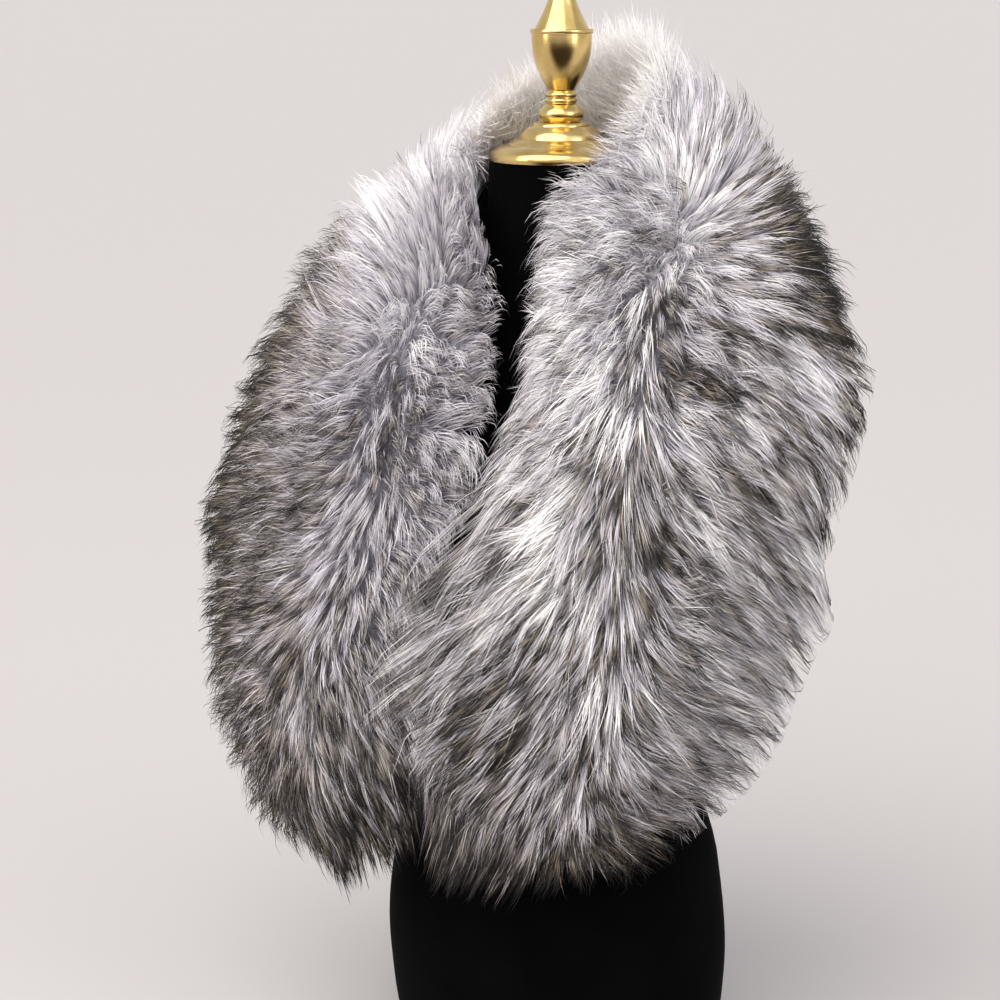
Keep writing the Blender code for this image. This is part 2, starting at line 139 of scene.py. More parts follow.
# How the fur is combed: s, the parting's t, and the angle in degrees by which the hair turns along the
# strip on the parting, at the inner edge and at the outer edge. 0 is straight across, 90 straight along.
FLOW_LEFT = (
    # s, parting, on_parting, inner, outer
    (0.00, -0.40, 0, 0, 0),
    (0.15, -0.40, -30, -12, -6),
    (0.26, -0.46, -80, -28, -24),
    (0.34, -0.50, 0, 20, -10),
    (0.44, -0.44, 80, 50, -8),
    (0.60, -0.25, 88, 54, -14),
    (0.80, 0.00, 88, 64, -4),
    (1.00, 0.20, 88, 74, 26),
)
FLOW_RIGHT = (
    # s, parting, on_parting, inner, outer
    (0.00, -0.40, 0, 0, 0),
    (0.15, -0.45, -6, -10, -6),
    (0.30, -0.58, -14, 0, -14),
    (0.42, -0.66, 4, 16, -14),
    (0.55, -0.60, 50, 38, -10),
    (0.68, -0.60, 78, 56, 0),
    (0.80, -0.45, 88, 72, 16),
    (1.00, -0.10, 88, 80, 50),
)

# Shade of the fur from 0, white, over silver and dark-tipped, to 1, dark taupe, at five places across the
# strip from the inner edge to the outer one, and how strongly the tufts differ. Above 1 the dark tips are
# longer.
# Beside the fur's own tone, the tables hold painted light and shade: the nape's white is partly painted light
# on the collar's top, the left half's low outer edge is lighter as painted light where it turns down from the
# lamps, and the rows towards s = 1 are darker and warmer as painted shade on the low ends.
SHADE_LEFT = (
    # s, shade at the five places, streaks
    (0.00, 0.00, 0.00, 0.06, 0.20, 0.44, 0.5),
    (0.10, 0.00, 0.00, 0.26, 0.56, 0.72, 0.4),
    (0.15, 0.00, 0.00, 1.10, 1.08, 0.88, 0.4),
    (0.20, 0.00, 0.40, 1.60, 1.42, 1.00, 0.4),
    (0.25, 0.02, 0.42, 1.60, 1.20, 0.80, 0.4),
    (0.30, 0.12, 0.36, 1.34, 0.58, 0.52, 0.5),
    (0.35, 0.18, 0.28, 0.64, 0.26, 0.24, 0.6),
    (0.40, 0.21, 0.27, 0.46, 0.18, 0.15, 0.6),
    (0.50, 0.22, 0.22, 0.50, 0.18, 0.15, 0.8),
    (0.60, 0.25, 0.24, 0.52, 0.22, 0.16, 0.8),
    (0.70, 0.34, 0.42, 0.48, 0.18, 0.12, 0.8),
    (0.80, 0.43, 0.58, 0.54, 0.14, 0.10, 0.8),
    (0.90, 0.54, 0.72, 0.78, 0.56, 0.42, 0.6),
    (1.00, 0.84, 0.92, 0.94, 0.92, 0.86, 0.4),
)
SHADE_RIGHT = (
    # s, shade at the five places, streaks
    (0.00, 0.00, 0.00, 0.06, 0.20, 0.44, 0.5),
    (0.18, 0.00, 0.00, 0.36, 0.70, 0.78, 0.4),
    (0.30, 0.00, 0.06, 0.92, 0.92, 0.86, 0.3),
    (0.35, 0.06, 0.24, 0.92, 0.92, 0.82, 0.3),
    (0.40, 0.24, 0.08, 0.92, 0.90, 0.80, 0.3),
    (0.45, 0.30, 0.16, 0.80, 0.86, 0.78, 0.3),
    (0.50, 0.34, 0.28, 0.64, 0.84, 0.78, 0.35),
    (0.60, 0.38, 0.44, 0.58, 0.78, 0.74, 0.35),
    (0.70, 0.38, 0.42, 0.62, 0.76, 0.74, 0.4),
    (0.80, 0.44, 0.56, 0.70, 0.76, 0.76, 0.5),
    (0.90, 0.60, 0.74, 0.82, 0.82, 0.80, 0.55),
    (1.00, 0.86, 0.90, 0.92, 0.92, 0.88, 0.4),
)
# Length of the hair's lay as a share of the layer's.
LENGTH_LEFT = (
    # s, inner edge, middle, outer edge
    (0.00, 0.60, 0.70, 0.80),
    (0.26, 0.42, 0.46, 0.60),
    (0.36, 0.50, 0.52, 0.66),
    (0.46, 0.58, 0.70, 0.76),
    (0.52, 0.62, 0.80, 0.79),
    (0.60, 1.10, 0.84, 0.82),
    (0.70, 1.40, 0.90, 0.86),
    (0.82, 1.30, 0.98, 0.92),
    (1.00, 0.76, 0.78, 0.76),
)
LENGTH_RIGHT = (
    # s, inner edge, middle, outer edge
    (0.00, 0.60, 0.70, 0.80),
    (0.30, 0.40, 0.50, 0.60),
    (0.45, 0.34, 0.52, 0.62),
    (0.55, 0.36, 0.58, 0.66),
    (0.66, 0.60, 0.66, 0.68),
    (0.80, 0.74, 0.82, 0.80),
    (1.00, 0.60, 0.66, 0.64),
)

MAP_NAME = "OFBake"  # every piece's own map
MAP_EDGE = 0.004  # half the width of a hair on it, and how far it stays from its top and bottom
MAP_RIM = 0.001  # how far it stays from its sides
TAPER = 0.45  # power by which a hair narrows to its tip
PARTING_WIDTH = 0.34  # t over which the hair turns away from the parting
LEAST_STEP = 0.6  # a step shorter than this isn't drawn out to full length, so hair on a parting lies less
CLUMP_CELLS = 400  # cells of the lattice of tuft or lock middles, each way
LATTICE_EDGE = 1.5  # how far below t = 0 it begins
SHAKE = 0.8  # share of its cell over which a middle may lie

GRID_ALONG = 200  # cells of the grids that hold the wrap's surfaces, along the strip
GRID_ACROSS = 88  # the same across it
READ_PAST_S = (-0.02, 1.04)  # how far past their edges the grids are read
READ_PAST_T = (-1.08, 1.08)
FINE_CUTS = 40  # places between two rows of a table over which its length is measured
PROBE = 0.5 * MM  # step over which the slope of the torso's formula is taken
PUSHES = 8  # Newton steps that push the cloth off the torso
LONGEST_PUSH = 20 * MM
LENGTHS_TRIED = 60  # shares of the reach tried, to find where it first comes near the form
CROSSING_ROUNDS = 12  # rounds in which the hair's crossing with the front line is found
NOISE_CELLS = 160  # cells of the soft noise's lattice, each way
NOISE_START = 40  # the cell in it where s = t = 0 lies


def unit(vectors):
    """Each vector divided by its length."""
    return vectors / np.maximum(np.linalg.norm(vectors, axis=-1, keepdims=True), 1e-12)


def smooth_step(x):
    """3 x^2 - 2 x^3, with x held between 0 and 1."""
    x = np.clip(x, 0, 1)
    return x * x * (3 - 2 * x)


def step_between(x, start, end):
    """Smooth step from 0 at the start to 1 at the end, which may be the lower of the two."""
    return smooth_step((x - start) / (end - start))


def mix(a, b, share):
    """The straight line from a at share 0 to b at share 1."""
    return a + (b - a) * share


def even_curve(at, knots, rows):
    """Cubic through the rows at the knots that never passes them.

    Its slope at a row is the harmonic mean of the steps on its two sides, and level where they turn.
    """
    step = np.diff(knots)[:, None]
    slope = np.diff(rows, axis=0) / step
    tangent = np.empty_like(rows)
    tangent[0], tangent[-1] = slope[0], slope[-1]
    before, after = slope[:-1], slope[1:]
    product = before * after
    total = np.where(product > 0, before + after, 1)
    tangent[1:-1] = np.where(product > 0, 2 * product / total, 0)
    cell = np.clip(np.searchsorted(knots, at) - 1, 0, len(knots) - 2)
    u = ((at - knots[cell]) / step[cell, 0])[..., None]
    span = step[cell]
    return (
        (2 * u**3 - 3 * u**2 + 1) * rows[cell]
        + (u**3 - 2 * u**2 + u) * span * tangent[cell]
        + (3 * u**2 - 2 * u**3) * rows[cell + 1]
        + (u**3 - u**2) * span * tangent[cell + 1]
    )


def round_curve(at, rows):
    """Cubic through rows one apart: its slope at a row is half the step between the row's neighbours."""
    tangent = np.gradient(rows, axis=0)
    cell = np.clip(np.ceil(at).astype(int) - 1, 0, len(rows) - 2)
    u = (at - cell)[:, None]
    return (
        (2 * u**3 - 3 * u**2 + 1) * rows[cell]
        + (u**3 - 2 * u**2 + u) * tangent[cell]
        + (3 * u**2 - 2 * u**3) * rows[cell + 1]
        + (u**3 - u**2) * tangent[cell + 1]
    )


def read_table(table, s):
    """Columns of a table whose first one is s, read at every s by even_curve."""
    rows = np.array(table, float)
    return even_curve(np.clip(s, 0, 1), rows[:, 0], rows[:, 1:])


TORSO_ROWS = np.array(TORSO_SECTIONS, float) * MM


def torso_reach(points):
    """(|x/w|^e + |y/d|^e)^(1/e) with the section's half width w and depth d at that height: 1 is the skin."""
    height = np.clip(points[..., 2], TORSO_ROWS[0, 0], 0)
    sizes = even_curve(height, TORSO_ROWS[:, 0], TORSO_ROWS[:, 1:])
    width = sizes[..., 0]
    depth = np.where(points[..., 1] < 0, sizes[..., 1], sizes[..., 2])
    by_cap = points[..., 2] > -CAP_SKIRT
    width = np.where(by_cap, np.maximum(width, CAP_RADIUS), width)
    depth = np.where(by_cap, np.maximum(depth, CAP_RADIUS), depth)
    across = np.abs(points[..., 0]) / width
    through = np.abs(points[..., 1]) / depth
    return (across**FORM_CORNER + through**FORM_CORNER) ** (1 / FORM_CORNER)


def push_off_torso(points, clearance):
    """Newton steps along the slope of torso_reach, till no point is nearer to the skin than the clearance."""
    points = points.copy()
    for _ in range(PUSHES):
        slopes = []
        for axis in np.eye(3) * PROBE:
            slopes.append((torso_reach(points + axis) - torso_reach(points - axis)) / (2 * PROBE))
        slope = np.stack(slopes, axis=-1)
        steepness = np.linalg.norm(slope, axis=-1)
        distance = (torso_reach(points) - 1) / steepness
        push = np.clip(clearance - distance, 0, LONGEST_PUSH)
        points += slope * (push / steepness)[..., None]
    return points


def even_rows(data, rows):
    """Table positions at which the middle line and the hair's outer tips together are cut evenly."""
    fine = np.linspace(0, len(data) - 1, FINE_CUTS * len(data))
    course = round_curve(fine, data)
    middle = (course[:, 0:3] + course[:, 3:6]) / 2
    tips = course[:, 3:6] + unit(course[:, 3:6] - course[:, 0:3]) * course[:, 7:8]
    steps = np.linalg.norm(np.diff(middle, axis=0), axis=1)
    steps = steps + np.linalg.norm(np.diff(tips, axis=0), axis=1)
    travelled = np.concatenate([[0], np.cumsum(steps)])
    return np.interp(np.linspace(0, travelled[-1], rows + 1), travelled, fine)


def strip_grids(table, side):
    """Root points, hair reach and directions on an even grid of (s, t).

    Cloth: middle + across * w * t + outward * arch * (1 - t^2), pushed off the torso.
    Reach: pile * (across * sin(fan t) + outward * cos(fan t)) turned by the lean towards the strip's end,
    and shortened where the form, the cap or the other half is in the way.
    Drift: how far along the strip the lean carries a tip, which the combed hair takes back.
    """
    data = np.array(table, float)
    data[:, :8] *= MM
    data[:, [0, 3]] *= side
    data[:, 8:] = np.radians(data[:, 8:])
    at = even_rows(data, GRID_ALONG)
    course = round_curve(at, data)
    arch, pile, fan_in, fan_out = (course[:, None, k : k + 1] for k in (6, 7, 8, 9))
    middle = (course[:, 0:3] + course[:, 3:6]) / 2
    across = course[:, 3:6] - course[:, 0:3]
    half_width = np.linalg.norm(across, axis=1)[:, None, None] / 2
    across = unit(across)
    along = unit(np.gradient(middle, at, axis=0))
    along[0] = (side, 0, 0)  # both halves leave the nape sideways
    outward = unit(np.cross(along, across) * side)
    share = (at / at[-1])[:, None, None]
    lean = LEAN_BODY * step_between(share, *LEAN_FROM)
    lean = lean + (LEAN_END - LEAN_BODY) * step_between(share, *LEAN_END_FROM)

    t = np.linspace(-1, 1, GRID_ACROSS + 1)[None, :, None]
    across, along, outward = across[:, None], along[:, None], outward[:, None]
    cloth = middle[:, None] + across * half_width * t + outward * arch * (1 - t**2)
    cloth = push_off_torso(cloth, CLOTH_REST)
    normal = unit(np.cross(np.gradient(cloth, axis=0), np.gradient(cloth, axis=1)))
    normal = normal * np.sign(np.sum(normal * outward, axis=-1, keepdims=True))
    root = cloth + normal * FUR_ROOT
    turn = np.where(t < 0, fan_in, fan_out) * t
    upright = across * np.sin(turn) + outward * np.cos(turn)
    reach = (upright * np.cos(lean) + along * np.sin(lean)) * pile
    held = held_lengths(root, reach, side)[..., None]
    upheld = 1 - step_between(share - DRIFT_OUTER * np.maximum(t, 0), *DRIFT_UNTIL)
    return {
        "cloth": cloth,
        "normal": normal,
        "root": root,
        "reach": reach * held,
        "drift": pile * held * np.sin(lean) * upheld,
        "inward": -outward[:, 0],
        "pile": np.linalg.norm(reach * held, axis=-1, keepdims=True),
    }


def held_lengths(root, reach, side):
    """Share of the reach up to where it first comes near the torso or the cap, or to the front line."""
    held = np.ones(root.shape[:2])
    for share in np.linspace(1, SHORTEST_PILE, LENGTHS_TRIED):
        tip = root + reach * share
        blocked = torso_reach(tip) - 1 < PILE_OFF_FORM
        blocked &= tip[..., 2] < CAP_TOP + PILE_OVER_CAP
        held = np.where(blocked, np.minimum(held, share), held)
    meeting = np.array(FRONT_MEETING, float) * MM
    inward = reach[..., 0] * side < 0
    travel = np.where(inward, reach[..., 0], 1)
    crossing = np.ones(root.shape[:2])
    for _ in range(CROSSING_ROUNDS):
        height = root[..., 2] + reach[..., 2] * crossing
        opened = step_between(height, *OPENING_HEIGHTS)
        line = even_curve(height, meeting[:, 0], meeting[:, 1:])[..., 0]
        limit = line + side * (FRONT_CLEARANCE + FRONT_OPENING * opened)
        crossing = np.where(inward, np.clip((limit - root[..., 0]) / travel, SHORTEST_PILE, 1), 1)
    return np.where(root[..., 1] < 0, np.minimum(held, crossing), held)


def read_grid(grid, s, t):
    """Bilinear reading of a grid at (s, t), going on straight a little way past its edges."""
    x = np.clip(s, *READ_PAST_S) * GRID_ALONG
    y = (np.clip(t, *READ_PAST_T) + 1) / 2 * GRID_ACROSS
    i = np.clip(np.floor(x).astype(int), 0, GRID_ALONG - 1)
    j = np.clip(np.floor(y).astype(int), 0, GRID_ACROSS - 1)
    fx, fy = (x - i)[..., None], (y - j)[..., None]
    low = mix(grid[i, j], grid[i + 1, j], fx)
    high = mix(grid[i, j + 1], grid[i + 1, j + 1], fx)
    return mix(low, high, fy)


def comb(flow_table, s, t):
    """Steps (across, along) of unit length in which the hair lies at (s, t).

    The hair goes both ways from the parting, by off = tanh(distance / PARTING_WIDTH), and its way along the
    strip goes over from the parting's angle to its edge's by |off|^1.2.
    """
    parting, on_parting, inner, outer = read_table(flow_table, s).T
    off = np.tanh((t - parting) / PARTING_WIDTH)
    angle = np.radians(np.where(t < parting, inner, outer))
    across = off * np.cos(angle)
    along = mix(np.sin(np.radians(on_parting)), np.sin(angle), np.abs(off) ** 1.2)
    length = np.maximum(np.hypot(across, along), LEAST_STEP)
    return across / length, along / length


def soft_noise(s, t, scale_s, scale_t, seed):
    """Smooth noise in 0..1: random values on a lattice of the given cell sizes, joined by smooth steps."""
    lattice = np.random.default_rng(seed).random((NOISE_CELLS, NOISE_CELLS))
    x, y = s / scale_s + NOISE_START, t / scale_t + NOISE_START
    i, j = np.floor(x).astype(int), np.floor(y).astype(int)
    fx, fy = smooth_step(x - i), smooth_step(y - j)
    i, j = i % (NOISE_CELLS - 1), j % (NOISE_CELLS - 1)
    low = mix(lattice[i, j], lattice[i + 1, j], fx)
    high = mix(lattice[i, j + 1], lattice[i + 1, j + 1], fx)
    return mix(low, high, fy)


def scatter(grids, count, depth, rng):
    """Random (s, t) spread evenly over the surface at that depth: a cell is drawn as often as it is large."""
    surface = grids["root"] + grids["reach"] * depth
    du = surface[1:, :-1] - surface[:-1, :-1]
    dv = surface[:-1, 1:] - surface[:-1, :-1]
    area = np.linalg.norm(np.cross(du, dv), axis=-1).ravel()
    drawn = np.searchsorted(np.cumsum(area) / area.sum(), rng.random(count))
    i, j = np.divmod(np.clip(drawn, 0, len(area) - 1), GRID_ACROSS)
    s = (i + rng.random(count)) / GRID_ALONG
    t = (j + rng.random(count)) / GRID_ACROSS * 2 - 1
    return s, t


def place(grids, s, t, depth):
    """Point at (s, t, d): root(s, t) + reach(s, t) * d, lifted to its height above the floor."""
    return read_grid(grids["root"], s, t) + read_grid(grids["reach"], s, t) * depth[..., None] + FROM_FLOOR


def clumps(s, t, spacing, seed, draws):
    """Middle (s, t) of each hair's clump, and as many random numbers of that clump's own as there are draws.

    One middle lies in each cell of a lattice, shaken within its cell, and a hair belongs to the nearest.
    """
    scale_s, scale_t = spacing / STRIP_LENGTH, spacing / STRIP_REACH
    shake = np.random.default_rng(seed).random((CLUMP_CELLS, CLUMP_CELLS, 2)) * SHAKE + (1 - SHAKE) / 2
    x, y = s / scale_s, (t + LATTICE_EDGE) / scale_t
    i0, j0 = np.floor(x).astype(int), np.floor(y).astype(int)
    best = np.full(s.shape, np.inf)
    middle_s, middle_t, number = np.zeros_like(s), np.zeros_like(s), np.zeros(s.shape, int)
    for di in (-1, 0, 1):
        for dj in (-1, 0, 1):
            i, j = i0 + di, j0 + dj
            a, b = i % CLUMP_CELLS, j % CLUMP_CELLS
            cx, cy = i + shake[a, b, 0], j + shake[a, b, 1]
            gap = (x - cx) ** 2 + (y - cy) ** 2
            nearer = gap < best
            best = np.where(nearer, gap, best)
            middle_s = np.where(nearer, cx * scale_s, middle_s)
            middle_t = np.where(nearer, cy * scale_t - LATTICE_EDGE, middle_t)
            number = np.where(nearer, a * CLUMP_CELLS + b, number)
    own = np.random.default_rng(seed + OWN_SEED).random((CLUMP_CELLS**2, draws))
    return middle_s, middle_t, own[number].T


def add_piece(name, mesh, material):
    """A finished mesh's object, at the origin."""
    mesh.materials.append(material)
    piece = bpy.data.objects.new(name, mesh)
    bpy.context.scene.collection.objects.link(piece)
    return piece


def give_map(mesh, uv):
    """The mesh's own map, from one (u, v) for each corner of its faces."""
    mesh.uv_layers.new(name=MAP_NAME).data.foreach_set("uv", uv.astype(np.float32).ravel())


def add_strands(name, paths, outward, width, tone, fade, material, first=0.0):
    """One mesh of flat tapered hairs.

    paths is (hairs, levels, 3). A hair is a ribbon of half width w(u) = width/2 * (1 - u)^TAPER that ends in
    a point. Its map runs from first at the root to 1 at the tip, times 1 + fade, at the hair's tone across.
    """
    count, levels, _ = paths.shape
    u = np.linspace(0, 1, levels)
    ahead = unit(np.gradient(paths, axis=1))
    sideways = unit(np.cross(outward, ahead))
    half = (width[:, None] / 2 * (1 - u[None, :]) ** TAPER)[..., None]
    left, right = paths - sideways * half, paths + sideways * half
    body = levels - 1
    points = np.empty((count, 2 * body + 1, 3))
    points[:, 0 : 2 * body : 2] = left[:, :-1]
    points[:, 1 : 2 * body : 2] = right[:, :-1]
    points[:, -1] = paths[:, -1]
    k = np.arange(body - 1)
    quads = np.stack([2 * k, 2 * k + 1, 2 * k + 3, 2 * k + 2], axis=1).ravel()
    corners = np.concatenate([quads, [2 * body - 2, 2 * body - 1, 2 * body]])
    sizes = np.array([4] * (body - 1) + [3])
    loops = (corners[None, :] + (np.arange(count) * (2 * body + 1))[:, None]).ravel()
    totals = np.tile(sizes, count)
    starts = np.concatenate([[0], np.cumsum(totals)[:-1]])
    mesh = bpy.data.meshes.new(name)
    mesh.vertices.add(count * (2 * body + 1))
    mesh.vertices.foreach_set("co", points.astype(np.float32).ravel())
    mesh.loops.add(len(loops))
    mesh.loops.foreach_set("vertex_index", loops.astype(np.int32))
    mesh.polygons.add(len(totals))
    mesh.polygons.foreach_set("loop_start", starts.astype(np.int32))
    mesh.polygons.foreach_set("loop_total", totals.astype(np.int32))
    mesh.polygons.foreach_set("use_smooth", np.ones(len(totals), bool))
    mesh.update(calc_edges=True)
    level = np.concatenate([np.repeat(u[:-1], 2), [1.0]])
    offset = np.concatenate([np.tile([-MAP_EDGE, MAP_EDGE], body), [0.0]])
    map_v = np.clip(mix(first, 1, level[corners][None, :]) * (1 + fade[:, None]), MAP_EDGE, 1 - MAP_EDGE)
    map_u = np.clip(tone[:, None] + offset[corners][None, :], MAP_RIM, 1 - MAP_RIM)
    give_map(mesh, np.stack([map_u, map_v], axis=-1))
    return add_piece(name, mesh, material)


def add_grid(name, grid, material, flip):
    """A surface of quads from a grid of points, with its map from 0 to 1 each way."""
    rows, columns = grid.shape[0] - 1, grid.shape[1] - 1
    i, j = np.meshgrid(np.arange(rows), np.arange(columns), indexing="ij")
    a = (i * (columns + 1) + j).ravel()
    quads = np.stack([a, a + 1, a + columns + 2, a + columns + 1], axis=1)
    if flip:
        quads = quads[:, ::-1]
    mesh = bpy.data.meshes.new(name)
    mesh.from_pydata(grid.reshape(-1, 3).tolist(), [], quads.tolist())
    mesh.polygons.foreach_set("use_smooth", np.ones(len(quads), bool))
    across = (quads % (columns + 1)) / columns
    along = (quads // (columns + 1)) / rows
    give_map(mesh, np.stack([across, along], axis=-1))
    mesh.update()
    return add_piece(name, mesh, material)


# ---------------------------------------------------------------- finishes

MIX_FROM, MIX_TO, MIX_OUT = 6, 7, 2  # a mix node's two colour inputs and its colour output
SHADE_HOLD = 0.09  # how far a shade stays pure on each side of its number
HAIR_SHADES = (
    # from root to tip, each (place, hex); darker roots: the fibre's blue-grey with painted shade
    (  # white
        (0.0, "#e0e1e4"),
        (0.2, "#f8f7f8"),
        (0.6, "#fffefd"),
        (1.0, "#fefcfa"),
    ),
    (  # silver
        (0.0, "#7a7881"),
        (0.3, "#b3aeb8"),
        (0.6, "#e0dce2"),
        (0.82, "#d0cbd2"),
        (0.93, "#8d868e"),
        (1.0, "#625c63"),
    ),
    (  # dark-tipped
        (0.0, "#605c60"),
        (0.25, "#aea8a8"),
        (0.46, "#ded7d3"),
        (0.60, "#a39b96"),
        (0.70, "#332c2a"),
        (1.0, "#0e0c0b"),
    ),
    (  # taupe
        (0.0, "#38322c"),
        (0.28, "#7a6e5f"),
        (0.44, "#9e917f"),
        (0.56, "#50483e"),
        (0.66, "#1c1814"),
        (1.0, "#090807"),
    ),
)


def linear(hex_colour):
    """Linear RGBA of an sRGB hex value: c / 12.92 where c is small, or else ((c + 0.055) / 1.055)^2.4."""
    out = []
    for k in (1, 3, 5):
        c = int(hex_colour[k : k + 2], 16) / 255
        out.append(c / 12.92 if c <= 0.04045 else ((c + 0.055) / 1.055) ** 2.4)
    return (*out, 1.0)


def wire(material, target, links):
    """Links into a node, each as (input, other node, output)."""
    for key, other, output in links:
        material.node_tree.links.new(other.outputs[output], target.inputs[key])


def node(material, kind, links=(), inputs=(), **settings):
    """Adds one node: its settings, its inputs' values, and its links."""
    made = material.node_tree.nodes.new(kind)
    for key, value in settings.items():
        setattr(made, key, value)
    for key, value in inputs:
        made.inputs[key].default_value = value
    wire(material, made, links)
    return made


def new_finish(name, **values):
    """A material and its Principled shader with the given socket values."""
    material = bpy.data.materials.new(name)
    material.use_nodes = True
    shader = material.node_tree.nodes["Principled BSDF"]
    for key, value in values.items():
        shader.inputs[key.replace("_", " ")].default_value = value
    return material, shader


def set_stops(ramp, stops):
    """Colour stops (position, hex) of a ramp."""
    elements = ramp.color_ramp.elements
    while len(elements) > 1:
        elements.remove(elements[-1])
    elements[0].position, elements[0].color = stops[0][0], linear(stops[0][1])
    for position, colour in stops[1:]:
        elements.new(position).color = linear(colour)


def long_fur():
    """Long-haired faux fur: drawn fibre, dyed in one piece and tip-printed dark.

    The eye sees pale silver mid-lengths and dark tips in streaks. The blue-grey roots are painted darker
    as shade deep in the fur. The map's height runs from root to tip and its width picks the shade: white,
    silver, dark-tipped or taupe.
    """
    material, shader = new_finish("tip_printed_long_fur", Roughness=0.5, Specular_IOR_Level=0.35)
    place_on_hair = node(material, "ShaderNodeUVMap", uv_map=MAP_NAME)
    split = node(material, "ShaderNodeSeparateXYZ", [("Vector", place_on_hair, "UV")])
    ramps = []
    for stops in HAIR_SHADES:
        ramps.append(node(material, "ShaderNodeValToRGB", [("Fac", split, "Y")]))
        set_stops(ramps[-1], stops)
    steps = len(HAIR_SHADES) - 1
    colour, output = ramps[0], "Color"
    for k, ramp in enumerate(ramps[1:]):
        span = [("From Min", k / steps + SHADE_HOLD), ("From Max", (k + 1) / steps - SHADE_HOLD)]
        share = node(material, "ShaderNodeMapRange", [("Value", split, "X")], span)
        both = [("Factor", share, "Result"), (MIX_FROM, colour, output), (MIX_TO, ramp, "Color")]
        colour, output = node(material, "ShaderNodeMix", both, data_type="RGBA"), MIX_OUT
    wire(material, shader, [("Base Color", colour, output)])
    return material


def under_fur():
    """Dense short under-hair of the same fibre: matt blue-grey, streaked along the way it lies.

    On the inner side of the collar, at low s and t, it goes over to near white: partly the white fur's
    own colour, partly painted light in the collar's shaded inside.
    """
    material, shader = new_finish("matted_under_fur", Roughness=0.9, Specular_IOR_Level=0.1)
    place_on_fur = node(material, "ShaderNodeUVMap", uv_map=MAP_NAME)
    on_fur = [("Vector", place_on_fur, "UV")]
    # Streaks of about 4 mm across the strip and 27 mm along it: narrower than a tuft, as long as a lock.
    stretch = node(material, "ShaderNodeMapping", on_fur, [("Scale", (90.0, 26.0, 1.0))])
    grain = [("Scale", 1.0), ("Detail", 6.0), ("Roughness", 0.65)]
    streaks = node(material, "ShaderNodeTexNoise", [("Vector", stretch, "Vector")], grain)
    shade = node(material, "ShaderNodeValToRGB", [("Fac", streaks, "Fac")])
    set_stops(shade, ((0.3, "#605f67"), (0.55, "#8c8a94"), (0.75, "#aeabb4")))
    split = node(material, "ShaderNodeSeparateXYZ", on_fur)
    past_collar = [("From Min", 0.34), ("From Max", 0.46)]
    down = node(material, "ShaderNodeMapRange", [("Value", split, "Y")], past_collar)
    past_inside = [("From Min", 0.26), ("From Max", 0.42)]
    out = node(material, "ShaderNodeMapRange", [("Value", split, "X")], past_inside)
    grey = node(material, "ShaderNodeMath", [(0, down, "Result"), (1, out, "Result")], operation="MAXIMUM")
    collar = node(
        material,
        "ShaderNodeMix",
        [("Factor", grey, "Value"), (MIX_TO, shade, "Color")],
        data_type="RGBA",
    )
    # near white: partly painted light on the shaded inner side of the collar
    collar.inputs[MIX_FROM].default_value = linear("#f4f3f5")
    wire(material, shader, [("Base Color", collar, MIX_OUT)])
    return material


def ground_knit():
    """Warp-knitted polyester ground cloth, grey: fine loops in rows, seen as a soft grain on its inside."""
    material, shader = new_finish("knitted_ground_cloth", Roughness=0.92, Specular_IOR_Level=0.15)
    place_on_cloth = node(material, "ShaderNodeUVMap", uv_map=MAP_NAME)
    # Loops of about 2 mm on a strip of 0.25 by 0.67 m: real ones are finer, drawn this coarse to show.
    rows = [("Scale", (110.0, 320.0, 1.0))]
    stretch = node(material, "ShaderNodeMapping", [("Vector", place_on_cloth, "UV")], rows)
    grain = [("Scale", 1.0), ("Randomness", 0.35)]
    loops = node(material, "ShaderNodeTexVoronoi", [("Vector", stretch, "Vector")], grain)
    # darker towards each loop's edge, where the bump sinks: painted shade between the loops
    shade = node(material, "ShaderNodeValToRGB", [("Fac", loops, "Distance")])
    set_stops(shade, ((0.0, "#8d8d93"), (0.5, "#6e6e74"), (0.9, "#4c4c51")))
    relief = [("Strength", 0.5), ("Distance", 0.6 * MM)]
    bump = node(material, "ShaderNodeBump", [("Height", loops, "Distance")], relief, invert=True)
    wire(material, shader, [("Base Color", shade, "Color"), ("Normal", bump, "Normal")])
    return material


def black_velvet():
    """Cotton velvet over padding: a short dense pile that drinks the light, shaded where it is brushed."""
    material, shader = new_finish(
        "black_cotton_velvet",
        Roughness=0.95,
        Specular_IOR_Level=0.04,
        Sheen_Weight=0.02,
        Sheen_Roughness=0.45,
        Sheen_Tint=linear("#6a6a70"),
    )
    where = node(material, "ShaderNodeTexCoord")
    on_form = [("Vector", where, "Object")]
    # Brushed patches of about 70 mm, and a pile of 1.1 mm: the real one is finer, drawn this coarse to show.
    brushed = node(material, "ShaderNodeTexNoise", on_form, [("Scale", 14.0), ("Detail", 3.0)])
    pile = node(material, "ShaderNodeTexNoise", on_form, [("Scale", 900.0), ("Detail", 2.0)])
    shade = node(material, "ShaderNodeValToRGB", [("Fac", brushed, "Fac")])
    set_stops(shade, ((0.3, "#020203"), (0.7, "#050506")))
    relief = [("Strength", 0.25), ("Distance", 0.4 * MM)]
    bump = node(material, "ShaderNodeBump", [("Height", pile, "Fac")], relief)
    wire(material, shader, [("Base Color", shade, "Color"), ("Normal", bump, "Normal")])
    return material


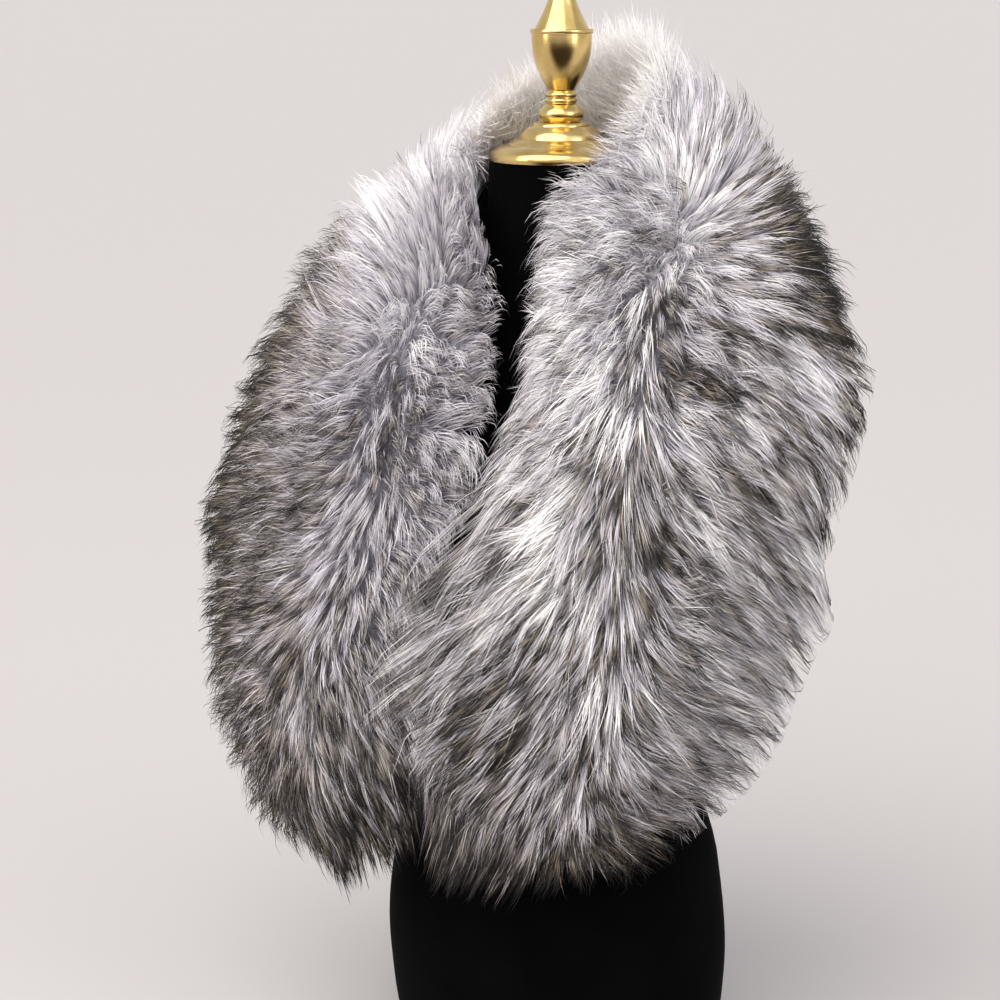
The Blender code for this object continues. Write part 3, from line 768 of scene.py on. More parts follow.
def polished_gold():
    """Lacquered brass, spun and polished: mirror bright, with faint turning lines and an uneven film."""
    material, shader = new_finish("polished_lacquered_brass", Metallic=1.0, Roughness=0.14)
    where = node(material, "ShaderNodeTexCoord")
    on_metal = [("Vector", where, "Object")]
    # The film is uneven over about 17 mm. The turning lines are 1.1 mm apart, coarser than real, to show.
    film = node(material, "ShaderNodeTexNoise", on_metal, [("Scale", 60.0), ("Detail", 4.0)])
    shade = node(material, "ShaderNodeValToRGB", [("Fac", film, "Fac")])
    set_stops(shade, ((0.3, "#d2b46f"), (0.7, "#ead08f")))
    gloss_span = [("To Min", 0.14), ("To Max", 0.24)]
    gloss = node(material, "ShaderNodeMapRange", [("Value", film, "Fac")], gloss_span)
    squash = node(material, "ShaderNodeMapping", on_metal, [("Scale", (0.5, 0.5, 900.0))])
    grain = [("Scale", 1.0), ("Detail", 2.0)]
    lines = node(material, "ShaderNodeTexNoise", [("Vector", squash, "Vector")], grain)
    relief = [("Strength", 0.12), ("Distance", 0.2 * MM)]
    bump = node(material, "ShaderNodeBump", [("Height", lines, "Fac")], relief)
    wire(
        material,
        shader,
        [("Base Color", shade, "Color"), ("Roughness", gloss, "Result"), ("Normal", bump, "Normal")],
    )
    return material


# ---------------------------------------------------------------- fur

FUR_LAYERS = (
    # name, hairs, levels, root depth, tip depth, lay in mm, width in mm, disorder in radians, shade
    ("under_hair", 13000, 4, 0.22, 0.66, 24, 1.30, 0.30, -0.06),
    ("body_hair_a", 30000, 4, 0.30, 0.92, 50, 0.95, 0.20, 0.00),
    ("body_hair_b", 30000, 4, 0.36, 1.00, 48, 0.90, 0.24, 0.02),
    ("guard_hair", 9000, 5, 0.42, 1.12, 58, 0.80, 0.28, 0.14),
)
STRIP_LENGTH = 0.69  # metres of cloth for one unit of s
STRIP_REACH = 0.19  # metres of fur surface for one unit of t
ROOTED_AT = 0.8  # depth of the surface over which the hairs are spread evenly

# Tufts and locks: each has random numbers of its own, from 0 to 1, that all its hairs share.
TUFT = 6.8 * MM  # spacing of the small tufts
LOCK = 24 * MM  # spacing of the larger locks
TUFT_SEED = {"left": 31, "right": 32}
LOCK_SEED = {"left": 41, "right": 47}
OWN_SEED = 50  # what is added to these seeds for the clumps' own numbers
SLACK_TUFT = 0.66  # how far the tufts of the shortest hair draw together
TIGHT_TUFT = 0.88  # the same for the longest
TIGHT_FROM = (0.4, 0.8)  # lengths, as shares of the layer's, between which one goes over to the other
DRAWN_LOCK = 0.40  # how far the tufts of a lock draw together

# How the hair lies: shares of the table's length, and turns in radians for a disorder of 1.
HAIR_LAY = (0.85, 1.10)
TUFT_LAY = (0.68, 1.30)
LOCK_LAY = (0.82, 1.18)
TUFT_TURN, LOCK_TURN, HAIR_TURN = 2.2, 1.8, 0.14
TUFT_BEND, HAIR_BEND = 0.40, 0.04  # how far it bends on its way, in radians
HAIR_ROLL = 0.4
LOOK_AHEAD = 0.6  # share of the lay ahead of a tuft where the comb's later direction is read
STRAYS = 0.10  # share of the hairs that lie loose of their tuft
STRAY_TURN = 5.0  # how many times more a stray turns than the others

# How high it stands, as shares of the way from the layer's root depth to its tip depth.
LEAST_TIP, TIP_BY_TUFT, TIP_BY_LOCK = 0.58, 0.26, 0.16
HAIR_TIP = 0.03  # how much the depth of single tips differs
LEAST_RISE = 0.1  # from a root's depth to its tip's
BED_DEPTH = 0.42  # depth of the matted under-hair's surface
LONGEST_RISE = 38 * MM  # most of a hair's length that stands up: deeper fur is matted below it
# Places across and along, and sizes of tuft, between which the longest tufts come to stand out.
SPIKED = {"t": (0.05, 0.55), "size": (0.60, 0.90), "s": (0.10, 0.20)}
OUTER_SPIKES = 0.34  # share of the pile by which they stand past it
SPIKE_SHORTENING = 0.30  # share by which their lay is shorter, so that they stand steeper
SPIKE_SHADE = 0.36  # how much darker they are in shade
SPIKE_INK = 0.05  # and by how much their dark tips are longer

# The edges. A pair of places says where something comes in, and where it is full.
INNER_EDGE = (-0.6, -1.0)  # t
INNER_TRIM = 0.16  # share by which the fur is clipped along the neck and the upper front opening
OPENING_TRIM = {"left": 0.07, "right": 0.10}  # the same, further, beside the front opening
OPENING_FROM = (0.40, 0.48)
TRIM_END = 0.1  # s over which both go out before the halves meet
NAPE_TRIM = 0.12  # the same, further, at the nape
NAPE_UNTIL = (0.26, 0.16)
INNER_WISPS = 0.20  # share of the pile by which the longest tufts reach into the front opening
WISPS_FROM, WISPS_UNTIL = (0.30, 0.38), (0.66, 0.56)
END_TRIM = {"left": 0.04, "right": 0.20}  # share by which the fur is shorter at the strip's end
END_FROM = (0.84, 0.98)
MEETING = {"left": (0.56, 0.66), "right": (0.50, 0.60)}  # s between which each half comes to the other
OUTER_SPILL = 0.75  # share of the lay past the outer edge that goes on outwards
# The same past the inner edge, above the halves' meeting and from there on.
INNER_SPILL = {"left": (0.20, 1.00), "right": (0.20, 0.35)}
INNER_SPILL_FROM = (0.34, 0.42)
OUTER_ROOM = 0.04  # how far hair may lie past the outer edge, in t
INNER_ROOM = 0.06  # the same past the inner edge, further down
INNER_ROOM_FROM = (0.5, 0.7)
INNER_SPREAD = 0.14  # t over which the tufts past the inner edge are spread
LEAST_PILE = 20 * MM  # pile that the spilt hair's depth is counted in, at least
FURTHEST = 20 * MM  # the furthest that any tip stands past the fur's outer surface
FURTHEST_INNER = 34 * MM  # the same past the inner edge
LAID_OVER = {"left": 0.34, "right": 0.0}  # share of the way past the inner edge that lifts it outwards

# Shade and width.
STREAKS = (0.10, 0.80)  # how strongly the tufts of white fur and of grey fur differ
STREAKS_GREY = 0.35  # shade from which the fur counts as grey
TUFT_STREAKS, LOCK_STREAKS, HAIR_STREAKS = 0.62, 0.34, 0.05
SHADES = (0.01, 0.99)  # lightest and darkest
TUFT_FADE = (-0.12, 0.08)  # shares by which the dark tips are shorter and longer
HAIR_FADE = 0.04
HAIR_WIDTHS = (0.7, 1.3)


def rooted_hairs(label, grids, count, rng):
    """Hairs of one layer at their roots, with the middles and the own numbers of their tufts and locks.

    Spiked goes up to 1 for a hair of the longest tufts on the outer side.
    """
    s, t = scatter(grids, count, ROOTED_AT, rng)
    tuft_s, tuft_t, of_tuft = clumps(s, t, TUFT, TUFT_SEED[label], 5)
    lock_s, lock_t, of_lock = clumps(tuft_s, tuft_t, LOCK, LOCK_SEED[label], 4)
    hairs = SimpleNamespace(s=s, t=t, tuft_s=tuft_s, tuft_t=tuft_t, lock_s=lock_s, lock_t=lock_t)
    hairs.tuft_turn, hairs.tuft_size, hairs.tuft_shade, hairs.tuft_bend, hairs.tuft_wisp = of_tuft
    hairs.lock_turn, hairs.lock_rise, hairs.lock_size, hairs.lock_shade = of_lock
    hairs.spiked = step_between(t, *SPIKED["t"]) * step_between(hairs.tuft_size, *SPIKED["size"])
    hairs.spiked = hairs.spiked * step_between(s, *SPIKED["s"])
    return hairs


def lay_of_hairs(hairs, length_table, lay, rng):
    """The table's share of the layer's lay at each hair, and how far the hair lies, in metres."""
    inner, middle, outer = read_table(length_table, hairs.s).T
    share = np.where(hairs.t < 0, mix(middle, inner, -hairs.t), mix(middle, outer, hairs.t))
    length = lay * share * mix(*HAIR_LAY, rng.random(len(share)))
    length = length * mix(*TUFT_LAY, hairs.tuft_size) * mix(*LOCK_LAY, hairs.lock_size)
    return share, length * (1 - SPIKE_SHORTENING * hairs.spiked)


def combed_way(hairs, flow_table, length, disorder, u, rng):
    """How far each hair has gone across and along the strip at u, in metres.

    It goes length * u^1.25 along a way that turns from the comb's at its tuft halfway to the comb's further
    on, and is turned by its tuft, its lock and a little by itself.
    """
    count = len(length)
    loose = np.where(rng.random(count) < STRAYS, STRAY_TURN, 1.0)
    across, along = comb(flow_table, hairs.tuft_s, hairs.tuft_t)
    further_s = hairs.tuft_s + LOOK_AHEAD * length * along / STRIP_LENGTH
    further_t = np.clip(hairs.tuft_t + LOOK_AHEAD * length * across / STRIP_REACH, -1, 1)
    further_across, further_along = comb(flow_table, further_s, further_t)
    turn = TUFT_TURN * (hairs.tuft_turn - 0.5) + LOCK_TURN * (hairs.lock_turn - 0.5)
    turn = disorder * (turn + rng.normal(0, HAIR_TURN, count) * loose)
    bend = TUFT_BEND * (hairs.tuft_bend - 0.5) + rng.normal(0, HAIR_BEND, count) * loose
    turned = turn[:, None] + bend[:, None] * u
    across = mix(across[:, None], further_across[:, None], u / 2)
    along = mix(along[:, None], further_along[:, None], u / 2)
    travel = length[:, None] * u**1.25
    moved_across = travel * (across * np.cos(turned) - along * np.sin(turned))
    moved_along = travel * (across * np.sin(turned) + along * np.cos(turned))
    return moved_across, moved_along


def matted(pile):
    """Share of the pile by which the matted under-hair is raised where the fur is deep."""
    return np.maximum(1 - LONGEST_RISE / np.maximum(pile, LONGEST_RISE) - BED_DEPTH, 0)


def standing_depth(label, hairs, grids, root_depth, tip_depth, u, rng):
    """Depth d(u) = root + (tip - root) * (1 - (1 - u)^1.5), the tip trimmed by the inner edge and the end."""
    s, t = hairs.s, hairs.t
    tip = LEAST_TIP + TIP_BY_TUFT * hairs.tuft_size + TIP_BY_LOCK * hairs.lock_rise
    tip = mix(root_depth, tip_depth, tip) + rng.normal(0, HAIR_TIP, len(s))
    tip = tip + OUTER_SPIKES * hairs.spiked
    together = MEETING[label][1]
    trim = INNER_TRIM + OPENING_TRIM[label] * step_between(s, *OPENING_FROM)
    trim = trim * step_between(s, together, together - TRIM_END) + NAPE_TRIM * step_between(s, *NAPE_UNTIL)
    wisps = INNER_WISPS * hairs.tuft_wisp**3 * step_between(s, *WISPS_FROM) * step_between(s, *WISPS_UNTIL)
    tip = tip * (1 + step_between(t, *INNER_EDGE) * (wisps - trim))
    tip = tip * (1 - END_TRIM[label] * step_between(s, *END_FROM))
    root = root_depth + matted(read_grid(grids["pile"], s, t)[:, 0])
    return root[:, None] + np.maximum(tip - root, LEAST_RISE)[:, None] * (1 - (1 - u) ** 1.5)


def drawn_together(hairs, share, u):
    """Course of (s, t) as tufts draw together by tightness * u^1.2 and locks by DRAWN_LOCK * u^1.5."""
    tightness = mix(SLACK_TUFT, TIGHT_TUFT, step_between(share, *TIGHT_FROM))
    tuft_pull = 1 - tightness[:, None] * u**1.2
    lock_pull = 1 - DRAWN_LOCK * u**1.5
    courses = []
    for own, tuft, lock in ((hairs.s, hairs.tuft_s, hairs.lock_s), (hairs.t, hairs.tuft_t, hairs.lock_t)):
        courses.append(lock[:, None] + (tuft - lock)[:, None] * lock_pull + (own - tuft)[:, None] * tuft_pull)
    return courses


def kept_on_strip(label, hairs, grids, path_s, path_t, depth):
    """Points of the hairs. What would pass an edge stays over it, and adds a share of its way to the depth.

    Along the inner edge the tufts stop at places of their own, and are lifted outwards by LAID_OVER.
    """
    s, t = hairs.s[:, None], hairs.t[:, None]
    inner_room = INNER_ROOM * step_between(s, *INNER_ROOM_FROM)
    inner_share = mix(*INNER_SPILL[label], step_between(s, *MEETING[label]))
    inner_share = inner_share * step_between(s, *INNER_SPILL_FROM)
    innermost = np.minimum(-1 - inner_room + INNER_SPREAD * hairs.tuft_wisp[:, None], t)
    spill = OUTER_SPILL * np.maximum(path_t - 1, 0)
    inner_spill = inner_share * np.maximum(innermost - path_t, 0)
    path_t = np.clip(path_t, innermost, 1 + OUTER_ROOM)
    pile = np.maximum(read_grid(grids["pile"], path_s, path_t)[..., 0], LEAST_PILE)
    furthest = np.where(t < 0, FURTHEST_INNER, FURTHEST)
    depth = np.minimum(depth + (spill + inner_spill) * STRIP_REACH / pile, 1 + furthest / pile)
    lift = np.minimum(inner_spill * STRIP_REACH, FURTHEST_INNER) * LAID_OVER[label]
    normal = read_grid(grids["normal"], path_s, path_t)
    return place(grids, path_s, path_t, depth) + normal * lift[..., None]


def rolled(outward, paths, roll):
    """The way each flat hair faces: outwards, turned about the hair by the roll."""
    ahead = unit(paths[:, -1] - paths[:, 0])
    sideways = unit(np.cross(ahead, outward))
    return (outward * np.cos(roll)[:, None] + sideways * np.sin(roll)[:, None])[:, None, :]


def tones(shade_table, shade, hairs, rng):
    """Shade of each hair: the table's and the layer's, then the tuft's, the lock's and a little of its own.

    The tuft's own number x, from -1 to 1, counts as sign(x) |x|^0.6, so that few tufts are in between. Beside
    the shade stands how far the table's passes 1, which makes the dark tips longer.
    """
    row = read_table(shade_table, hairs.s)
    at = (np.clip(hairs.t, -1, 1) + 1) * 2
    column = np.clip(at.astype(int), 0, 3)[:, None]
    before = np.take_along_axis(row, column, axis=1)[:, 0]
    after = np.take_along_axis(row, column + 1, axis=1)[:, 0]
    plain = mix(before, after, at - column[:, 0])
    tone = np.minimum(plain, 1) + shade
    spread = mix(*STREAKS, step_between(tone, 0, STREAKS_GREY)) * row[:, 5]
    by_tuft = 2 * hairs.tuft_shade - 1
    tone = tone + spread * TUFT_STREAKS * np.sign(by_tuft) * np.abs(by_tuft) ** 0.6
    tone = tone + spread * LOCK_STREAKS * (2 * hairs.lock_shade - 1)
    tone = tone + rng.normal(0, HAIR_STREAKS, len(tone))
    return np.clip(tone, *SHADES), np.maximum(plain - 1, 0)


def layer_of_fur(label, grids, tables, layer, seed, material):
    """Hairs of one layer, as paths s(u), t(u), d(u) from root u = 0 to tip u = 1.

    A path is the drawn course and the combed way together, less the drift by which the pile's lean already
    carries the hair along the strip.
    """
    flow_table, shade_table, length_table = tables
    name, count, levels, root_depth, tip_depth, lay, width, disorder, shade = layer
    rng = np.random.default_rng(seed)
    u = np.linspace(0, 1, levels)[None, :]
    hairs = rooted_hairs(label, grids, count, rng)
    share, length = lay_of_hairs(hairs, length_table, lay * MM, rng)
    moved_across, moved_along = combed_way(hairs, flow_table, length, disorder, u, rng)
    depth = standing_depth(label, hairs, grids, root_depth, tip_depth, u, rng)
    path_s, path_t = drawn_together(hairs, share, u)
    drift = read_grid(grids["drift"], hairs.s, hairs.t)
    path_s = path_s + (moved_along - drift * (depth - depth[:, :1])) / STRIP_LENGTH
    path_t = path_t + moved_across / STRIP_REACH
    paths = kept_on_strip(label, hairs, grids, path_s, path_t, depth)
    outward = unit(read_grid(grids["reach"], hairs.s, hairs.t))
    outward = rolled(outward, paths, rng.normal(0, HAIR_ROLL, count))
    tone, inked = tones(shade_table, shade + SPIKE_SHADE * hairs.spiked, hairs, rng)
    fade = mix(*TUFT_FADE, hairs.tuft_bend) + rng.uniform(-HAIR_FADE, HAIR_FADE, count)
    fade = fade + inked + SPIKE_INK * hairs.spiked
    widths = width * MM * mix(*HAIR_WIDTHS, rng.random(count))
    return add_strands(f"{name}_{label}", paths, outward, widths, tone, fade, material)


CAP_PROFILE = (
    # radius, height above the neck's top, in mm
    (0, 180),
    (14, 120),
    (28, 105),
    (22, 60),
    (25, 32),
    (36, 29),
    (47, 18.5),
    (60, 13),
    (61.2, 7),
    (61.3, -400),
)
RIM_HAIRS = 5000
RIM_SEED = 9
RIM_END = 0.34  # s at which the hair over the inner rim stops
RIM_BAND = 0.12  # t over which it is rooted
RIM_DEPTHS = (0.06, 0.72)
RIM_LEVELS = 4
RIM_LENGTH = 46 * MM
RIM_LENGTHS = (0.55, 1.10)  # the shortest and the longest hair, as shares of that
RIM_SHORTENING = 0.35  # share by which it is shorter where it stops
RIM_ANGLES = (8, 78)  # degrees from the pile's own way towards the neck
RIM_TO_AXIS = 0.3  # how much the hair aims at the form's axis
RIM_FAN, RIM_ROLL = 0.38, 0.7
RIM_RISE = 0.12  # share of its length by which a hair curls up
RIM_SHORTEST = 0.1  # least share of its length where the neck, the cap or the finial is in its way
RIM_TRIES = 30
RIM_OFF_CAP = 2 * MM
RIM_OFF_NECK = 0.02  # share of the neck's section
RIM_WIDTH = 0.85 * MM
RIM_SHADE, RIM_STREAKS = 0.03, 0.05
RIM_GREY = 0.22  # how much darker it is where it stops
RIM_GREY_FROM = (0.18, 0.38)
RIM_FADE = 0.1
RIM_FIRST = 0.42  # where its colour starts on the way from root to tip


def rim_hair(label, grids, seed, material):
    """Hair out of the collar's standing inner side, over the neck: white, loose and fanned.

    A hair starts by t = -1 and runs p(u) = start + length * (aim * u + up * rise * u^2), and its aim is
    up * cos(a) + inward * sin(a) + fan. It is shortened to stay off the neck, the cap and the finial.
    """
    rng = np.random.default_rng(seed)
    count = RIM_HAIRS
    s = rng.random(count) * RIM_END
    t = -1 + RIM_BAND * rng.random(count) ** 2
    start = place(grids, s, t, mix(*RIM_DEPTHS, rng.random(count))) - FROM_FLOOR
    rows = np.clip(np.round(s * GRID_ALONG).astype(int), 0, GRID_ALONG)
    up = unit(read_grid(grids["reach"], s, t))
    inward = unit(grids["inward"][rows] + RIM_TO_AXIS * unit(start * (-1, -1, 0)))
    ahead = unit(np.cross(up, inward))
    angle = np.radians(mix(*RIM_ANGLES, rng.random(count) ** 1.3))
    fan = rng.normal(0, RIM_FAN, count)
    aim = unit(up * np.cos(angle)[:, None] + inward * np.sin(angle)[:, None] + ahead * fan[:, None])
    length = RIM_LENGTH * mix(*RIM_LENGTHS, rng.random(count))
    length = length * (1 - RIM_SHORTENING * step_between(s, 0, RIM_END))
    rise = up * RIM_RISE
    length = (length * clear_of_neck(start, aim + rise, length))[:, None, None]
    u = np.linspace(0, 1, RIM_LEVELS)[None, :, None]
    paths = start[:, None] + aim[:, None] * (length * u) + rise[:, None] * (length * u**2) + FROM_FLOOR
    outward = rolled(inward, paths, rng.normal(0, RIM_ROLL, count))
    tone = RIM_SHADE + RIM_STREAKS * rng.standard_normal(count) + RIM_GREY * step_between(s, *RIM_GREY_FROM)
    widths = RIM_WIDTH * mix(*HAIR_WIDTHS, rng.random(count))
    fade = rng.uniform(-RIM_FADE, RIM_FADE, count)
    name = f"rim_hair_{label}"
    return add_strands(name, paths, outward, widths, np.clip(tone, *SHADES), fade, material, first=RIM_FIRST)


def clear_of_neck(start, way, length):
    """Share of each hair's length up to where it first comes near the neck, the cap or the finial."""
    profile = np.array(CAP_PROFILE, float) * MM
    held = np.ones(len(start))
    for share in np.linspace(1, RIM_SHORTEST, RIM_TRIES):
        tip = start + way * (length * share)[:, None]
        radius = np.hypot(tip[:, 0], tip[:, 1])
        low = tip[:, 2] < np.interp(radius, profile[:, 0], profile[:, 1]) + RIM_OFF_CAP
        inside = (tip[:, 2] < 0) & (torso_reach(tip) < 1 + RIM_OFF_NECK)
        held = np.where((low & (radius < CAP_RADIUS)) | inside, np.minimum(held, share), held)
    return held


BED_ROWS, BED_COLUMNS = 80, 40
BED_EDGE = 0.20  # depth of the matted under-hair's surface at the strip's edges
BED_FOOT = 0.02  # depth to which its sides go down
BED_FALL = 0.25  # t over which it falls to the edges
BED_FALL_OPENING = 0.06  # the same beside the front opening
BED_OPENING_FROM = (0.44, 0.52)
BED_FALL_END = 0.06  # s over which it falls to the end
SWELL = 0.05  # height of its low swells, in depth
SWELL_SIZE = (0.025, 0.10)  # in s and t
SWELL_SEED = 5


def fur_bed(label, grids, side, material):
    """Surface of the matted under-hair, at BED_DEPTH or higher in deep fur, that falls to its edges."""
    along, across = np.linspace(0, 1, BED_ROWS + 1), np.linspace(-1, 1, BED_COLUMNS + 1)
    s, t = np.meshgrid(along, across, indexing="ij")
    raised = BED_DEPTH - BED_EDGE + matted(read_grid(grids["pile"], s, t)[..., 0])
    fall = mix(BED_FALL, BED_FALL_OPENING, step_between(s, *BED_OPENING_FROM) * (t < 0))
    depth = BED_EDGE + raised * smooth_step((1 - np.abs(t)) / fall) * smooth_step((1 - s) / BED_FALL_END)
    depth = depth + SWELL * (soft_noise(s, t, *SWELL_SIZE, SWELL_SEED) - 0.5)
    grid = place(grids, s, t, depth)
    lower = place(grids, s, t, np.full_like(s, BED_FOOT))
    ring = np.concatenate([lower[:, :1], grid, lower[:, -1:]], axis=1)
    return add_grid(f"under_fur_{label}", ring, material, side > 0)


CLOTH_STEPS = (2, 4)  # how many cells of the wrap's grids make one of the cloth's, along and across


def cloth_piece(label, grids, side, material):
    """Ground cloth on its solid's form: the inner face, given its wall outwards."""
    face = grids["cloth"] + grids["normal"] * CLOTH_LIFT + FROM_FLOOR
    face = face[:: CLOTH_STEPS[0], :: CLOTH_STEPS[1]]
    piece = add_grid(f"ground_cloth_{label}", face, material, side > 0)
    wall = piece.modifiers.new("wall", "SOLIDIFY")
    wall.thickness = CLOTH_WALL
    wall.offset = 1.0
    wall.use_even_offset = True
    return piece


def half_of_wrap(label, side, edges, fur_tables, materials, seed):
    """One half of the wrap: its ground cloth, the matted under-hair and the layers of hair."""
    grids = strip_grids(edges, side)
    cloth = cloth_piece(label, grids, side, materials["cloth"])
    bed = fur_bed(label, grids, side, materials["bed"])
    layers = []
    for k, layer in enumerate(FUR_LAYERS):
        layers.append(layer_of_fur(label, grids, fur_tables, layer, seed + k, materials["fur"]))
    layers.append(rim_hair(label, grids, seed + RIM_SEED, materials["fur"]))
    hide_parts(f"backing_{label}")
    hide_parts(f"fur_{label}")
    for piece in [cloth, bed, *layers]:
        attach(piece, "root")


# ---------------------------------------------------------------- form and turned pieces

# Mouldings of the turned pieces, from the top down, in mm above the neck's top. The bulge is how far
# the middle of a moulding stands outside the straight line between its ends; a hollow has a negative one.
FINIAL_MOULDINGS = (
    # top, bottom, top_radius, bottom_radius, bulge, points
    (173, 157, 0.0, 4.5, 7.0, 15),
    (157, 154, 7.0, 7.0, 1.0, 6),
    (154, 109, 6.5, 23.0, -2.5, 14),
    (109, 105, 26.0, 26.0, 1.0, 6),
    (105, 58, 25.5, 11.0, 4.5, 16),
    (57, 52.5, 12.0, 12.0, 1.6, 7),
    (52, 47.5, 12.0, 12.0, 1.6, 7),
    (47, 32, 13.0, 16.0, 5.0, 12),
)
CAP_MOULDINGS = (
    # top, bottom, top_radius, bottom_radius, bulge, points
    (32, 29, 23.0, 25.0, 0.6, 5),
    (29, 18.5, 26.5, 36.0, 2.0, 10),
    (18.5, 13.2, 38.0, 46.5, 0.8, 6),
    (13, 7, 49.5, 59.8, 1.6, 8),
    (7, 0, 60.0, 60.5, 0.6, 5),
)
PIECE_GAP = 0.3 * MM
LEAST_RADIUS = 0.3 * MM  # of the finial's very top, which a flat face closes
ROUND_SEGMENTS = 84
SHORTEST_STEP = 0.2 * MM  # a point of a turned outline nearer than this to the one above is left out
FORM_RINGS = 84
FORM_SEGMENTS = 96
SHARP_ANGLE = math.radians(38)


def add_rings(name, rings, material):
    """A closed round piece from rings of points, bottom first; each end is closed by a flat face."""
    levels, count = rings.shape[0], rings.shape[1]
    i, k = np.meshgrid(np.arange(levels - 1), np.arange(count), indexing="ij")
    after = (k + 1) % count
    low, high = i * count, (i + 1) * count
    faces = np.stack([low + k, low + after, high + after, high + k], axis=-1).reshape(-1, 4).tolist()
    faces.append(list(range(count))[::-1])
    faces.append([(levels - 1) * count + k for k in range(count)])
    mesh = bpy.data.meshes.new(name)
    mesh.from_pydata(rings.reshape(-1, 3).tolist(), [], faces)
    mesh.shade_smooth()
    mesh.set_sharp_from_angle(angle=SHARP_ANGLE)
    mesh.update()
    return add_piece(name, mesh, material)


def smooth_form(material):
    """The torso in fine oval rings: x = w * |cos a|^(2/e), y = d * |sin a|^(2/e), e being FORM_CORNER."""
    share = np.linspace(0, 1, FORM_RINGS)
    heights = even_curve(share, np.linspace(0, 1, len(TORSO_ROWS)), TORSO_ROWS[:, :1])[:, 0]
    sizes = even_curve(heights, TORSO_ROWS[:, 0], TORSO_ROWS[:, 1:])
    angle = np.arange(FORM_SEGMENTS) * 2 * math.pi / FORM_SEGMENTS
    across = np.sign(np.cos(angle)) * np.abs(np.cos(angle)) ** (2 / FORM_CORNER)
    through = np.sign(np.sin(angle)) * np.abs(np.sin(angle)) ** (2 / FORM_CORNER)
    depth = np.where(through[None, :] < 0, sizes[:, 1:2], sizes[:, 2:3])
    height = np.repeat(heights[:, None] + NECK_TOP, FORM_SEGMENTS, axis=1)
    rings = np.stack([sizes[:, :1] * across[None, :], depth * through[None, :], height], axis=-1)
    return add_rings("velvet_form", rings, material)


def turned_piece(name, mouldings, foot, material):
    """A lathe-turned piece: radius(u) = top + (bottom - top) * u + bulge * sin(pi u) down each moulding.

    Where one moulding ends on the next one's first point, that point is left out.
    """
    outline = []
    for top, bottom, top_radius, bottom_radius, bulge, count in mouldings:
        u = np.linspace(0, 1, count)
        radius = top_radius + (bottom_radius - top_radius) * u + bulge * np.sin(math.pi * u)
        outline.append(np.stack([radius, top + (bottom - top) * u], axis=1) * MM)
    outline = np.concatenate(outline)
    outline[0, 0] = max(outline[0, 0], LEAST_RADIUS)
    steps = np.linalg.norm(np.diff(outline, axis=0), axis=1)
    outline = outline[np.append(True, steps > SHORTEST_STEP)][::-1]
    angle = np.arange(ROUND_SEGMENTS) * 2 * math.pi / ROUND_SEGMENTS
    rings = np.stack(
        [
            outline[:, :1] * np.cos(angle)[None, :],
            outline[:, :1] * np.sin(angle)[None, :],
            np.repeat(outline[:, 1:] + NECK_TOP + foot, ROUND_SEGMENTS, axis=1),
        ],
        axis=-1,
    )
    return add_rings(name, rings, material)


def form_pieces():
    """The dress form's cover, its cap and its finial, in place of their coarser solids."""
    velvet, gold = black_velvet(), polished_gold()
    pieces = (
        (smooth_form(velvet), "form_body", "black_velvet_cover"),
        (turned_piece("gold_cap", CAP_MOULDINGS, PIECE_GAP, gold), "neck_cap", "polished_gold"),
        (turned_piece("gold_finial", FINIAL_MOULDINGS, 2 * PIECE_GAP, gold), "finial", "polished_gold"),
    )
    for piece, node_name, slot in pieces:
        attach(piece, "root")
        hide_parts(node_name)


# ---------------------------------------------------------------- stage

EYE_TURN = math.radians(36)
EYE_PITCH = math.radians(13.2)
EYE_BACK = 1.84  # metres from the form's axis, measured level
EYE_ABOVE_NECK = 0.135
EYE_FOCAL = 2.142  # focal length as a share of the picture's width
EYE_SENSOR = 36.0
EYE_RANGE = (0.05, 2500.0)  # nearest and furthest that is seen, in metres
AXIS_AT = 0.061  # the form's axis stands this share of the picture to the right of its middle
FLOOR_REACH = 1500.0  # metres: the floor's edge lies beyond the top of the picture
FLOOR_DROP = 0.5 * MM
FLOOR_COLOUR = "#c9c5c4"
MIDDLE = (0, 0, 0.5)  # what the lights are turned to
DARK_SIDE = (math.sin(EYE_TURN), -math.cos(EYE_TURN), 0)  # behind the eye the room is dark near its floor
DARK_COLOUR = "#3a2d24"
ROOM_STOPS = ((0.05, "#e3dbd9"), (0.35, "#dbd9da"), (0.85, "#c4c3c6"))  # from the horizon upward
SUNS = (
    # name, place, strength, colour
    ("key", (-0.1, -1.9, 2.6), 2.5, "#fffaf5"),
    ("fill", (2.6, -0.6, 1.8), 0.6, "#f4f6ff"),
)
SUN_SPREAD = math.radians(70)
PANELS = (
    # name, place, watts
    ("left_panel", (-1.1, -1.9, 1.5), 10),
    ("right_panel", (1.9, -0.2, 1.4), 8),
)
PANEL_WIDTH, PANEL_HEIGHT = 0.7, 1.5


